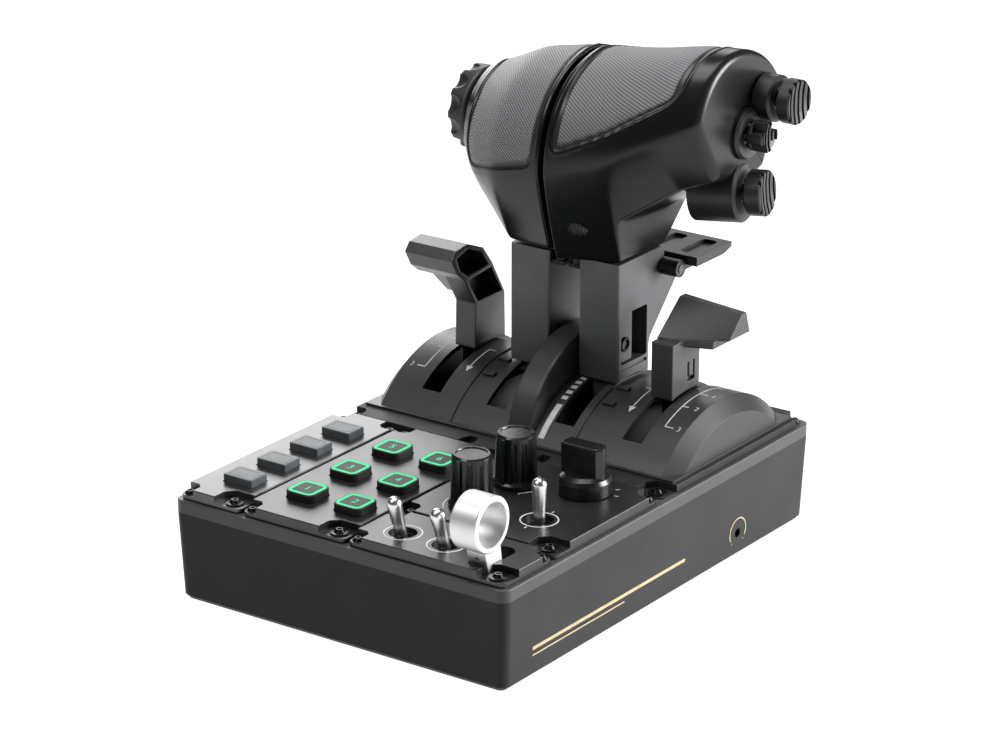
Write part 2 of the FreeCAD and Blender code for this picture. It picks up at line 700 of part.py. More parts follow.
def makeCap(label, x, y, wide, deep, corner, inset):
    """A moulded cap with a raised top, and the plunger under it."""
    cap = Piece(label)
    stemLow = sz.boardTop + sz.switchTall - 1.2
    cap.pad("XY", sz.capSkirt, sz.capTop, centredRectangle(0, 0, wide, deep, corner))
    top = sz.capTop.value
    cap.soften(0.6, lambda e: e.BoundBox.ZMin > top - 0.01)
    cap.cut("XY", sz.capTop - 0.25, sz.capTop + 1,
            centredRectangle(0, 0, wide - inset * 2, deep - inset * 2, corner),
            centredRectangle(0, 0, wide - inset * 2 - 0.7, deep - inset * 2 - 0.7,
                             corner - 0.2))
    cap.pad("XY", stemLow, sz.capSkirt, centredRectangle(0, 0, sz.plunger, sz.plunger))
    place(cap.body, x, y)


def makeSwitches(label, places):
    """Push switches on their board, each with a well for the plunger."""
    bodies = []
    for k, (x, y) in enumerate(places):
        half = switchWide / 2
        hole = sz.plunger / 2 + sz.plungerGap
        body = block(label + "Body%d" % k, x - half, x + half, y - half, y + half,
                     sz.boardTop, sz.boardTop + sz.switchTall)
        well = block(label + "Well%d" % k, x - hole, x + hole, y - hole, y + hole,
                     sz.boardTop + 1, sz.boardTop + sz.switchTall + 1)
        bodies.append(join(label + "Switch%d" % k, "Cut", [body, well]))
    node(label, join(label + "Group", "Compound", bodies))


for k, (x, y) in enumerate(keyPlaces):
    makeCap("key_%d" % (k + 1), x, y, sz.keyWide, sz.keyDeep, asSize(1.0), asSize(1.9))
for k, (x, y) in enumerate(buttonPlaces):
    makeCap("button_%d" % (k + 1), x, y, sz.buttonSide, sz.buttonSide, sz.buttonCorner,
            asSize(1.7))
makeSwitches("push_switches", keyPlaces + buttonPlaces)


def makeBoards():
    """The two switch boards on stand-offs that hang from the panels."""
    boards = []
    low = sz.boardTop - sz.boardThick
    spans = [(boardStands[0], boardStands[3]), (boardStands[4], boardStands[7])]
    for k, (first, last) in enumerate(spans):
        board = block("board%d" % k, first[0] - 3, last[0] + 3, first[1] - 3, last[1] + 3,
                      low, sz.boardTop)
        posts = [rod("stand%d_%d" % (k, n), x, y, sz.boardTop, sz.rimZ, 1.5)
                 for n, (x, y) in enumerate(boardStands[k * 4:k * 4 + 4])]
        boards.append(join("boardWhole%d" % k, "MultiFuse", [board] + posts))
    boards.append(block("mainBoard", -48, 48, -116, -34, boardZ, boardZ + sz.boardThick))
    node("circuit_boards", join("circuitBoards", "Compound", boards))


def makeFeet():
    """Rubber feet sunk into the tray, and the data socket in its rear wall."""
    feet = [rod("foot%d" % k, x, y, 0, sz.footProud * 2, footRadius)
            for k, (x, y) in enumerate(footPlaces)]
    node("rubber_feet", join("rubberFeet", "Compound", feet))
    rear = endY - 1.4
    shell = block("socketShell", inletX - inletWide / 2 + 0.2, inletX + inletWide / 2 - 0.2,
                  rear - 14, rear, inletZ - inletTall / 2 + 0.2, inletZ + inletTall / 2 - 0.2)
    mouth = block("socketMouth", inletX - inletWide / 2 + 1, inletX + inletWide / 2 - 1,
                  rear - 9, rear + 1, inletZ - inletTall / 2 + 1, inletZ + inletTall / 2 - 1)
    pedestal = block("socketStand", inletX - 9, inletX + 9, rear - 16, rear - 4, floorZ,
                     inletZ - inletTall / 2 + 0.2)
    whole = join("socketBlank", "MultiFuse", [shell, pedestal])
    node("data_socket", join("dataSocket", "Cut", [whole, mouth]))


makeBoards()
makeFeet()




# Toggles, knobs and the ring lever ----------------------------------------------

def makeToggle(label, x, y, lean):
    """A bat lever: ball, neck, taper and a domed tip, leaning toward the user."""
    toggle = Piece(label)
    neck, tip = sz.toggleNeck / 2, sz.toggleTip / 2
    ball = toggleBall
    tall = sz.toggleLong
    toggle.turn(curved((0, -ball, 0.65), (neck * 0.86, ball * 0.9, 0), (neck, ball + 3, 0),
                       (tip, tall - tip * 1.15, 0.33), (tip * 0.25, tall, 0), (0, tall, 0)))
    place(toggle.body, x, y, sz.togglePivotZ)
    turnAbout(toggle.body, Vector(1, 0, 0), lean)


toggleBall = asSize(3.2)
toggleNames = ["toggle_1", "toggle_2", "toggle_3"]
toggleLeans = [sz.toggleLean, sz.toggleLean, asSize(0)]
for label, (x, y), lean in zip(toggleNames, togglePlaces, toggleLeans):
    makeToggle(label, x, y, lean)


def makeToggleBodies():
    """Switch bodies under the panel, each with a threaded bush round the ball."""
    bodies = []
    for k, (x, y) in enumerate(togglePlaces):
        half = toggleBody / 2
        body = block("toggleCase%d" % k, x - half, x + half, y - half - 3, y + half + 3,
                     sz.seamZ - 12, sz.rimZ - 0.2)
        bush = rod("toggleBush%d" % k, x, y, sz.rimZ - 1, sz.panelZ - 2.2,
                   sz.toggleHole / 2 - 0.2)
        whole = join("toggleBlank%d" % k, "MultiFuse", [body, bush])
        ball = doc.addObject("Part::Cone", "toggleWell%d" % k)
        bind(ball, "Radius1", toggleBall + 0.1)
        bind(ball, "Radius2", toggleBall + 2.4)
        bind(ball, "Height", 9)
        place(ball, x, y, sz.togglePivotZ - 3.4)
        bodies.append(join("toggleSocket%d" % k, "Cut", [whole, ball]))
    return bodies


toggleSwitches = makeToggleBodies()


def makeKnob(label, x, y):
    """A fluted, tapered knob with a skirt, a sunk cap and a pointer rib."""
    knob = Piece(label)
    foot, top, skirt = sz.knobFoot / 2, sz.knobTop / 2, sz.knobSkirt / 2
    tall = sz.knobTall
    knob.turn(outline((0, 0), (skirt, 0), (skirt, 1.6), (foot + 0.2, 2.6), (foot, 4),
                      (top, tall - 0.9), (top - 0.9, tall), (top - 1.8, tall),
                      (top - 2.1, tall - 0.6), (0, tall - 0.6)))
    flute = knob.cut("XY", 3.2, tall - 3.2, circle(0, top + 1.1, 1.75))
    knob.around(flute, 12)
    knob.pad("XY", 2, tall - 1.2, centredRectangle(0, -(top + 0.1), 1.6, 2.6))
    knob.cut("XY", -1, 12, circle(0, 0, spindle))
    place(knob.body, x, y, sz.panelZ + sz.knobLift)


def makeSelector():
    """The selector: a skirt and a raised bar with a flat face on one side."""
    selector = Piece("selector_knob")
    foot = sz.selectorFoot / 2
    bar = sz.selectorBar / 2
    reach = foot - 1.6
    selector.turn(outline((0, 0), (foot, 0), (foot, 6.5), (foot - 1.2, 8.6),
                          (foot - 3.2, 10.2), (0, 10.2)))
    selector.pad("XY", 9, sz.selectorTall, outline(
        (-reach, -bar, 2), (reach - 2.5, -bar, 1), (reach, -bar * 0.2, 1),
        (reach - 2.5, bar, 1), (-reach, bar, 2)))
    crown = sz.selectorTall.value
    selector.soften(1.3, lambda e: e.BoundBox.ZMin > crown - 0.01)
    selector.cut("XY", -1, 12, circle(0, 0, spindle))
    place(selector.body, sz.selectorX, sz.selectorY, sz.panelZ + sz.knobLift)


spindle = asSize(3.0)
for label, (x, y) in zip(("knob_1", "knob_2"), knobPlaces):
    makeKnob(label, x, y)
makeSelector()


def makeEncoders():
    """Encoder and selector switch bodies, their bushes and the spindles in the knobs."""
    bodies = []
    for k, (x, y) in enumerate(knobPlaces + [(sz.selectorX, sz.selectorY)]):
        wide = selectorBody if k == 2 else encoderBody
        parts = [rod("encoderCase%d" % k, x, y, sz.seamZ - 8, sz.rimZ, wide / 2),
                 rod("encoderBush%d" % k, x, y, sz.rimZ, sz.panelZ, bushRadius),
                 rod("encoderSpindle%d" % k, x, y, sz.panelZ, sz.panelZ + 11,
                     spindle - sz.runningGap)]
        bodies.append(join("encoder%d" % k, "MultiFuse", parts))
    node("panel_switches", join("panelSwitches", "Compound", bodies + toggleSwitches))


makeEncoders()


def makeRingLever():
    """A finger ring of aluminium on a tapered post, hinged under the panel."""
    lever = Piece("ring_lever")
    outer, inner = sz.ringOuter / 2, sz.ringInner / 2
    half = sz.ringWide / 2
    post = sz.ringSlotWide / 2 - 0.9
    lever.pad("YZ", -half, half, circle(0, sz.ringReach, outer))
    lever.soften(0.9, lambda e: True)
    lever.pad("YZ", -post, post, outline(
        (-4.4, 0), (4.4, 0), (6.2, sz.ringReach - outer * 0.92),
        (-6.2, sz.ringReach - outer * 0.92)))
    lever.cut("YZ", -half - 1, half + 1, circle(0, sz.ringReach, inner))
    lever.pad("YZ", -post, post, circle(0, 0, 5.2))
    lever.cut("YZ", -half - 1, half + 1, circle(0, 0, spindle))
    lever.cut("XZ", -9, 0, circle(0, sz.ringReach - outer - 3.4, 1.0))
    place(lever.body, sz.ringX, sz.ringSlotY, sz.ringPivotZ)
    turnAbout(lever.body, Vector(1, 0, 0), sz.ringLean)
    ears = []
    pinHalf = post + 6
    for k, sign in enumerate((-1, 1)):
        inside = sz.ringX + (post + 0.4) * sign
        outside = sz.ringX + pinHalf * sign
        low, high = (outside, inside) if sign < 0 else (inside, outside)
        ears.append(block("ringEar%d" % k, low, high, sz.ringSlotY - 6,
                          sz.ringSlotY + 6, sz.ringPivotZ - 6, sz.seamZ))
    ears.append(crossRod("ringPin", sz.ringX - pinHalf, sz.ringX + pinHalf, sz.ringSlotY,
                         sz.ringPivotZ, spindle - sz.runningGap))
    node("ring_bracket", join("ringBracket", "MultiFuse", ears))


makeRingLever()


# Quadrant covers and shaft ------------------------------------------------------

def aroundPivot(angle, radius):
    """Point (y, z) at an angle forward of upright on a circle about the throttle axis."""
    return (sz.pivotY - radius * sine(angle), sz.pivotZ + radius * cosine(angle))


def between(sign, inner, outer):
    """Low and high X of something that lies between two distances on one side."""
    return (inner, outer) if sign > 0 else (-outer, -inner)


def makeCover(label, sign):
    """Half of the arched cover: a round shell with a bevelled end, two lever slots, a
    sunk band with two raised detent marks, and a plinth that stands on the deck."""
    cover = Piece(label)
    radius = sz.archRadius
    low, high = between(sign, sz.humpHalf, sz.archFlat)
    cover.pad("YZ", low, high, circle(sz.pivotY, sz.pivotZ, radius))
    cover.loft("AdditiveLoft", "YZ", [
        (sz.archFlat * sign, circle(sz.pivotY, sz.pivotZ, radius)),
        (sz.archHalf * sign, circle(sz.pivotY, sz.pivotZ, sz.archEndRadius))])
    low, high = between(sign, sz.bandInner, sz.bandOuter)
    cover.cut("YZ", low, high, circle(sz.pivotY, sz.pivotZ, radius + 1),
              circle(sz.pivotY, sz.pivotZ, radius - sz.bandDeep))
    for angle in (asSize(10.5), asSize(22)):
        low, high = between(sign, sz.bandInner + 2.2, sz.bandOuter - 2.2)
        half = asSize(1.3)
        cover.pad("YZ", low, high, outline(
            aroundPivot(angle - half, radius - 1.5), aroundPivot(angle + half, radius - 1.5),
            aroundPivot(angle + half, radius + 0.7), aroundPivot(angle - half, radius + 0.7)))
    low, high = between(sign, sz.humpHalf, sz.archHalf + 1.2)
    reach = archFootHalf + 1.2
    cover.pad("XY", sz.deckZ, sz.deckZ + 1.2,
              rectangle(low, sz.pivotY - reach, high, sz.pivotY + reach))
    low, high = between(sign, sz.humpHalf - 1, sz.archHalf + 2)
    far = radius + 2
    cover.cut("YZ", low, high, rectangle(sz.pivotY - far, sz.pivotZ - far,
                                         sz.pivotY + far, sz.deckZ))
    low, high = between(sign, sz.humpHalf + sz.archWall, sz.archFlat - sz.archWall)
    cover.cut("YZ", low, high, circle(sz.pivotY, sz.pivotZ, radius - sz.archWall))
    for middle in (sz.bladeX, sz.leverX):
        low, high = between(sign, middle - sz.slotWide / 2, middle + sz.slotWide / 2)
        cover.cut("YZ", low, high, outline(
            aroundPivot(sz.slotAngle, asSize(0)), aroundPivot(-sz.slotAngle, radius * 1.4),
            aroundPivot(sz.slotAngle, radius * 1.4)))


makeCover("quadrant_cover_left", -1)
makeCover("quadrant_cover_right", 1)


def makeHump():
    """The rib between the two throttles, a taller arc than the covers."""
    hump = Piece("centre_rib")
    hump.pad("YZ", -sz.humpHalf, sz.humpHalf, circle(sz.pivotY, sz.humpZ, sz.humpRadius))
    hump.soften(0.9, lambda e: True)
    far = sz.humpRadius + 5
    hump.cut("YZ", -sz.humpHalf - 1, sz.humpHalf + 1,
             rectangle(sz.pivotY - far, sz.humpZ - far, sz.pivotY + far, sz.deckZ))


makeHump()

hubHalf = asSize(8)
leverHubHalf = asSize(6)
bracketX = sz.leverX + leverHubHalf + 5
bracketThick = asSize(6)


def makeShaft():
    """The shaft, its end screw behind the hole in the tray's side, the three brackets
    that carry it, and the spacer tubes and friction discs between the hubs."""
    end = bracketX + bracketThick + 4
    shaft = crossRod("pivotRod", -end, end, sz.pivotY, sz.pivotZ, sz.shaftRadius)
    screw = crossRod("adjusterHead", end, end + 7, sz.pivotY, sz.pivotZ, asSize(6))
    hexagon = doc.addObject("Part::Prism", "adjusterSocket")
    hexagon.Polygon = 6
    bind(hexagon, "Circumradius", 2.3)
    bind(hexagon, "Height", 6)
    hexagon.Placement = Placement(Vector(), Rotation(Vector(0, 1, 0), 90))
    place(hexagon, end + 2, sz.pivotY, sz.pivotZ)
    node("pivot_shaft", join("pivotShaft", "Cut", [
        join("shaftBlank", "MultiFuse", [shaft, screw]), hexagon]))
    brackets = []
    spans = [(-bracketX - bracketThick, -bracketX), (-4, 4),
             (bracketX, bracketX + bracketThick)]
    for k, (low, high) in enumerate(spans):
        foot = block("bracketFoot%d" % k, asSize(low) - 3, asSize(high) + 3, sz.pivotY - 20,
                     sz.pivotY + 20, floorZ, floorZ + 3)
        web = block("bracketWeb%d" % k, low, high, sz.pivotY - 11, sz.pivotY + 11,
                    floorZ + 3, sz.pivotZ + 9)
        bore = crossRod("bracketBore%d" % k, asSize(low) - 1, asSize(high) + 1, sz.pivotY,
                        sz.pivotZ, sz.shaftRadius)
        blank = join("bracketBlank%d" % k, "MultiFuse", [foot, web])
        brackets.append(join("bracket%d" % k, "Cut", [blank, bore]))
    node("shaft_brackets", join("shaftBrackets", "Compound", brackets))
    tubes = []
    stop = asSize(0.3)
    gaps = [(asSize(4), sz.bladeX - hubHalf - stop, 6.5),
            (sz.bladeX + hubHalf + stop, sz.leverX - leverHubHalf - stop, 6.5),
            (sz.leverX + leverHubHalf + stop, bracketX, 7.6)]
    for sign in (-1, 1):
        for k, (inner, outer, radius) in enumerate(gaps):
            low, high = between(sign, inner, outer)
            tag = "%d_%d" % (k, sign + 1)
            tube = crossRod("tube" + tag, low, high, sz.pivotY, sz.pivotZ, radius)
            bore = crossRod("tubeBore" + tag, low - 1, high + 1, sz.pivotY, sz.pivotZ,
                            sz.shaftRadius)
            tubes.append(join("spacer" + tag, "Cut", [tube, bore]))
    node("friction_discs", join("frictionDiscs", "Compound", tubes))


makeShaft()


# Throttles ----------------------------------------------------------------------

sweepClear = sz.archRadius + sz.armClear


def addHub(piece, middle, half, thick, reach):
    """The hub on the shaft and the blade that rises from it through the slot."""
    blade = thick / 2
    piece.pad("YZ", middle - half, middle + half, circle(sz.pivotY, sz.pivotZ, sz.hubRadius))
    piece.pad("YZ", middle - blade, middle + blade, outline(
        (sz.pivotY - sz.hubRadius * 0.8, sz.pivotZ), (sz.pivotY + sz.hubRadius * 0.8, sz.pivotZ),
        (sz.pivotY + reach, sz.pivotZ + sweepClear + 3),
        (sz.pivotY - reach, sz.pivotZ + sweepClear + 3)))
    piece.cut("YZ", middle - half - 1, middle + half + 1,
              circle(sz.pivotY, sz.pivotZ, sz.shaftRadius + sz.runningGap))


def makeArm(label, sign):
    """A throttle arm: a bar over the cover with a foot that follows the arc, a recess in
    its outer side, a flare behind for the finger lift's pin, and the blade below."""
    arm = Piece(label)
    low, high = between(sign, sz.armInner, sz.armOuter)
    arm.pad("YZ", low, high, outline(
        (sz.armFront, sz.pivotZ + 40), (sz.armBack, sz.pivotZ + 40),
        (sz.armBack, recessLow + 5), (sz.armBack + 1.5, recessLow + 9), (liftY + 16, liftZ - 6), (liftY + 16, liftZ - 1), (liftY + 1, liftZ - 0.5),
        (liftY + 1, sz.armTop), (sz.armFront, sz.armTop)))
    front = sz.armFront.value
    arm.soften(1.2, lambda e: abs(e.BoundBox.YMax - front) < 0.01 and e.BoundBox.ZLength > 20)
    arm.cut("YZ", low, high, circle(sz.pivotY, sz.pivotZ, sweepClear))
    recess = between(sign, sz.armOuter - 8, sz.armOuter + 1)
    arm.cut("YZ", recess[0], recess[1], rectangle(
        sz.armFront + 3, recessLow, sz.armBack - 1.6, recessLow + 27, 1.5))
    slit = between(sign, sz.armOuter - 1.2, sz.armOuter + 1)
    arm.cut("YZ", slit[0], slit[1], rectangle(sz.armFront + 3, recessLow - 3.4,
                                          sz.armBack - 1.6, recessLow - 1.6))
    hole = between(sign, sz.armInner - 1, sz.armOuter)
    arm.cut("YZ", hole[0], hole[1], circle(sz.armFront + 8.3, recessLow + 10, 2.6))
    addHub(arm, sz.bladeX * sign, hubHalf, sz.bladeThick, asSize(11))
    stub = between(sign, sz.armOuter - 4, sz.armOuter + 11.4)
    arm.pad("YZ", stub[0], stub[1], circle(liftY, liftZ, 2.2))


liftY = asSize(96.5)
liftZ = asSize(137)
recessLow = sz.pivotZ + sz.archRadius + 9
makeArm("left_arm", -1)
makeArm("right_arm", 1)


def gripSection(*corners):
    """A grip's cross-section: corners given from the grip's front and bottom, as shares
    of its depth and height, with the bulge of the edge that leaves each."""
    return curved(*[(sz.gripFront + sz.gripDepth * y, sz.armTop + sz.gripHeight * z, bulge)
                    for y, z, bulge in corners])


def makeGrip(label, sign, *lofts):
    """A grip half lofted from sections across its width; the right one has a neck too."""
    grip = Piece(label)
    for sections in lofts:
        grip.loft("AdditiveLoft", "YZ", [(x * sign, gripSection(*corners))
                                         for x, corners in sections])
    return grip


middleSection = [(0.06, 0.27, 0), (0.86, 0.26, 0.05), (0.97, 0.42, 0.08), (0.965, 0.70, 0.2),
                 (0.515, 0.965, 0.43), (0.0, 0.455, 0.04)]
neckMiddle = [(0.125, 0.006, 0), (0.64, 0.0, 0.02), (0.86, 0.265, 0.02), (0.055, 0.275, 0.02)]
leftSections = [
    (sz.gripSplit, [(0.125, 0.036, 0), (0.64, 0.006, 0.02), (0.86, 0.26, 0.08),
                    (0.985, 0.50, 0.40), (0.515, 0.965, 0.43), (0.0, 0.455, 0.04)]),
    (sz.armOuter, [(0.22, 0.012, 0), (0.64, 0.006, 0.02), (0.83, 0.24, 0.08),
                   (0.945, 0.47, 0.38), (0.525, 0.91, 0.40), (0.05, 0.38, 0.04)]),
    (asSize(54), [(0.265, 0.165, 0), (0.615, 0.185, 0.04), (0.77, 0.27, 0.10),
                  (0.875, 0.45, 0.38), (0.56, 0.82, 0.38), (0.165, 0.33, 0.06)]),
    (sz.gripLeftEnd, [(0.44, 0.30, 0.02), (0.60, 0.265, 0.06), (0.745, 0.305, 0.12),
                      (0.853, 0.49, 0.40), (0.595, 0.75, 0.40), (0.333, 0.455, 0.14)])]
rightSections = [
    (sz.gripSplit, middleSection),
    (sz.armOuter, [(0.29, 0.22, 0), (0.80, 0.19, 0.05), (0.96, 0.35, 0.08),
                   (1.03, 0.64, 0.2), (0.585, 0.99, 0.42), (0.065, 0.54, 0.04)]),
    (asSize(58), [(0.40, 0.37, 0), (0.74, 0.33, 0.06), (0.89, 0.37, 0.08),
                  (1.068, 0.72, 0.2), (0.66, 1.02, 0.38), (0.155, 0.65, 0.05)]),
    (sz.gripRightEnd, [(0.48, 0.44, 0), (0.74, 0.36, 0.08), (0.91, 0.40, 0.08),
                       (1.04, 0.80, 0.25), (0.75, 0.99, 0.30), (0.29, 0.745, 0.05)])]
rightNeck = [(sz.gripSplit, neckMiddle),
             (sz.armOuter, [(0.25, 0.0, 0), (0.64, 0.0, 0.02), (0.80, 0.20, 0.02),
                            (0.29, 0.23, 0.02)])]
leftGrip = makeGrip("left_grip", -1, leftSections[:2], leftSections[1:])
rightGrip = makeGrip("right_grip", 1, rightSections, rightNeck)


def makeRoller(label, sign):
    """The small steel roller on a bracket at the top of an arm's inner side."""
    low, high = between(sign, 1.4, sz.armInner)
    tab = block(label + "Tab", low, high, rollerY - 4, rollerY + 4, sz.armTop - 7,
                sz.armTop - 5)
    roller = rod(label + "Rod", sign * rollerX, rollerY, sz.armTop - 5, sz.armTop - 0.4, 3.8)
    node(label, join(label + "Whole", "MultiFuse", [tab, roller]))


rollerX = asSize(5.3)
rollerY = sz.armFront + 6
makeRoller("left_roller", -1)
makeRoller("right_roller", 1)


def makeLift(label, sign):
    """A finger lift: a plate with two long recesses, hung on the arm's pin."""
    lift = Piece(label)
    near, far = sz.armOuter + 0.3, sz.armOuter + 11
    low, high = between(sign, near, far)
    lift.pad("YZ", low, high, circle(liftY, liftZ, 4.6))
    lift.pad("YZ", low, high, rectangle(liftY + 1, liftZ - 1.5, liftY + 12, liftZ + 3))
    low, high = between(sign, asSize(14), asSize(51))
    lift.pad("YZ", low, high, outline(
        (liftY + 4.5, liftZ + 1.2), (liftY + 30, liftZ + 1.2), (liftY + 37.5, liftZ + 3.4),
        (liftY + 37.5, liftZ + 6), (liftY + 4.5, liftZ + 6)))
    for middle in (23.5, 41.5):
        low, high = between(sign, middle - 4.6, middle + 4.6)
        lift.cut("XY", liftZ + 4.2, liftZ + 7,
                 rectangle(low, liftY + 9, high, liftY + 33, 3))
    low, high = between(sign, near - 1, far + 1)
    lift.cut("YZ", low, high, circle(liftY, liftZ, 2.2 + sz.runningGap))


makeLift("left_finger_lift", -1)
makeLift("right_finger_lift", 1)


# Side levers --------------------------------------------------------------------

def makeLeverBlade(label, sign):
    """A side lever's hub and blade, up to the foot of its handle."""
    blade = Piece(label)
    addHub(blade, sz.leverX * sign, leverHubHalf, sz.bladeThick, asSize(9))
    blade.cut("YZ", sz.leverX * sign - 10, sz.leverX * sign + 10,
              circle(sz.pivotY, sz.pivotZ, sweepClear + 30),
              circle(sz.pivotY, sz.pivotZ, sweepClear - 0.1))


def makeLeftLever():
    """The flap-style lever: a post that leans forward into a bar, hollow behind."""
    lever = Piece("left_lever")
    wall = sz.leverWall
    near, far = -(sz.leverX - sz.postHalf), -(sz.leverX + sz.postHalf)
    post = [(56.3, -4), (83.2, -4), (82.5, 25), (71.3, 44), (63.5, 54), (50, 59.4),
            (40, 58), (36.3, 53.5), (41.1, 45.1), (47.4, 40.2), (56.9, 25)]
    corners = [(asSize(y), archTop + z) for y, z in post]
    lever.pad("YZ", far, near, outline(*corners))
    lever.pad("YZ", leftReach, far, outline(*(corners[3:10])))
    lever.pad("YZ", far - 8, far, outline((60, archTop + 28), (80, archTop + 28), corners[3],
                                          corners[9]))
    lever.cut("YZ", far - 1, near + 1, circle(sz.pivotY, sz.pivotZ, sweepClear))
    hollow = far + wall * 1.5
    lever.cut("YZ", hollow, near + 1,
              outline((43, archTop + 47), (50, archTop + 42), (68, archTop + 43.5),
                      (62, archTop + 52), (50, archTop + 56.8), (40, archTop + 54)))
    lever.cut("YZ", hollow, near + 1,
              outline((49.5, archTop + 39.6), (58.6, archTop + 26), (80.4, archTop + 26),
                      (70.5, archTop + 41.6)))


def makeRightLever():
    """The wheel-style lever: a grooved post with a wedge-shaped handle."""
    lever = Piece("right_lever")
    near, far = sz.leverX - sz.postHalf, sz.leverX + sz.postHalf
    step = archTop + 25.7
    top = archTop + 29.3
    lever.pad("YZ", near, far, rectangle(52.7, archTop - 4, 77.5, archTop + 29))
    lever.cut("YZ", near - 1, far + 1, circle(sz.pivotY, sz.pivotZ, sweepClear))
    lever.cut("YZ", far - 2.2, far + 1, outline(
        (66.5, archTop + 6), (73.2, archTop + 6), (73.2, archTop + 16.5),
        (71.6, archTop + 16.5), (71.6, archTop + 8.4), (68.1, archTop + 8.4),
        (68.1, archTop + 16.5), (66.5, archTop + 16.5)))
    lever.pad("XY", step, top + 0.1, outline((near, 58), (far + 14, 68), (far + 14, 86),
                                             (near, 88)))
    lever.loft("AdditiveLoft", "YZ", [
        (near, outline((57.2, top), (91, top), (83, top + 16.7), (77.9, top + 16.7))),
        (rightReach, outline((74.6, top), (93.7, top), (90, top + 11.1),
                             (85.7, top + 11.1)))])


archTop = sz.pivotZ + sz.archRadius
leftReach = asSize(-86)
rightReach = asSize(88)
makeLeverBlade("left_lever_blade", -1)
makeLeverBlade("right_lever_blade", 1)
makeLeftLever()
makeRightLever()


# Head controls ------------------------------------------------------------------

def makeDial():
    """The thumb dial at the left end of the left grip: a disc with scalloped rim."""
    dial = Piece("thumb_dial")
    dial.turn(outline((0, 0), (sz.dialRadius - 1, 0), (sz.dialRadius, 1),
                      (sz.dialRadius, sz.dialWide - 1), (sz.dialRadius - 1, sz.dialWide),
                      (sz.dialRadius - 5, sz.dialWide), (sz.dialRadius - 6, sz.dialWide - 1),
                      (0, sz.dialWide - 1)))
    scallop = dial.cut("XY", -1, sz.dialWide + 1, circle(0, sz.dialRadius + 2.6, 4))
    dial.around(scallop, 16)
    dial.cut("XY", -1, sz.dialWide - 3, circle(0, 0, spindle))
    place(dial.body, -(sz.gripLeftEnd + 0.4), sz.dialY, sz.dialZ)
    dial.body.Placement = Placement(dial.body.Placement.Base, Rotation(Vector(0, 1, 0), -90))
    leftGrip.pad("YZ", -(sz.gripLeftEnd + sz.dialWide - 3.6), 4 - sz.gripLeftEnd,
                 circle(sz.dialY, sz.dialZ, spindle - sz.runningGap))


makeDial()


def aim(thing, x, y, z, yaw, pitch):
    """Places a thing so that its own Z points right, turned back and up by two angles."""
    place(thing, x, y, z)
    thing.Placement = Placement(thing.Placement.Base,
                                Rotation(Vector(0, 0, 1), yaw)
                                * Rotation(Vector(0, 1, 0), 90 - pitch))


def makeHat(name, spot, turned, bezel, hat):
    """A thumb hat with its bezel: the bezel is a socket round the hat's ball, and a thin
    cradle ring between them carries the second tilting axis."""
    x, y, z = spot
    yaw, pitch = turned
    bezelRadius, bezelLow, bezelHigh = bezel
    discRadius, discLow, discHigh = hat
    socket = Piece(name + "_socket")
    socket.turn(outline((0, bezelLow), (bezelRadius, bezelLow), (bezelRadius, bezelHigh - 1.4),
                        (bezelRadius - 1.4, bezelHigh), (wellRadius, bezelHigh),
                        (wellRadius, 0), (0, 0)))
    aim(socket.body, x, y, z, yaw, pitch)
    ring = Piece(name + "_cradle")
    low, high = ballCentre - 0.6, ballCentre + 0.6
    ring.turn(outline((ballRadius + 0.3, low), (wellRadius - 0.9, low),
                      (wellRadius - 0.9, high), (ballRadius + 0.3, high)))
    for side in (-1, 1):
        inner, outer = between(side, wellRadius - 1.6, wellRadius - 0.4)
        ring.pad("YZ", inner, outer, circle(0, ballCentre, pinRadius))
    aim(ring.body, x, y, z, yaw, pitch)
    top = Piece(name)
    neckZ = ballCentre + (ballRadius * ballRadius - stemRadius * stemRadius).root()
    top.turn(curved((0, ballCentre - ballRadius, 0.744), (stemRadius, neckZ, 0),
                    (stemRadius, discLow, 0),
                    (discRadius - 0.6, discLow, 0), (discRadius, discLow + 0.6, 0),
                    (discRadius, discHigh - 0.8, 0), (discRadius - 0.8, discHigh, 0),
                    (discRadius * 0.5, discHigh - 0.9, 0), (0, discHigh - 1.1, 0)))
    for side in (-1, 1):
        inner, outer = between(side, ballRadius - 1, ballRadius + 0.25)
        top.pad("XZ", inner, outer, circle(0, ballCentre, pinRadius))
    for step in range(-2, 3):
        groove = discRadius * 0.36 * step
        top.cut("XY", discHigh - 1.8, discHigh + 1,
                rectangle(-discRadius, groove - 0.9, discRadius, groove + 0.9))
    aim(top.body, x, y, z, yaw, pitch)
    return top


wellRadius = asSize(6.8)
ballRadius = asSize(4)
ballCentre = asSize(5.5)
stemRadius = asSize(2.2)
pinRadius = asSize(0.55)
upperSpot = (sz.gripRightEnd + 2, asSize(120), asSize(228.5))
middleSpot = (sz.gripRightEnd - 7, asSize(105.4), asSize(212.4))
lowerSpot = (sz.gripRightEnd - 7, asSize(102), asSize(181.7))
lowerTurn = (10, 5)
upperBezel = (asSize(12), asSize(-2), asSize(8))
middleBezel = (asSize(13.4), asSize(-3), asSize(9))
lowerBezel = (asSize(15.5), asSize(-18), asSize(8))
makeHat("upper_hat", upperSpot, (0, 0), upperBezel, (asSize(11.5), asSize(11.5), asSize(19)))
makeHat("lower_hat", lowerSpot, lowerTurn, lowerBezel,
        (asSize(11.8), asSize(11), asSize(20)))
castle = makeHat("middle_hat", middleSpot, (0, 0), middleBezel,
                 (asSize(7.9), asSize(10.6), asSize(20)))
for signX in (-1, 1):
    for signY in (-1, 1):
        castle.cut("XY", 12.5, 21, centredRectangle(asSize(7.6) * signX, asSize(7.6) * signY,
                                                    10, 10))
nodes["hat_bezels"] = join("hatBezels", "MultiFuse",
                           [nodes.pop("upper_hat_socket"), nodes.pop("middle_hat_socket")])


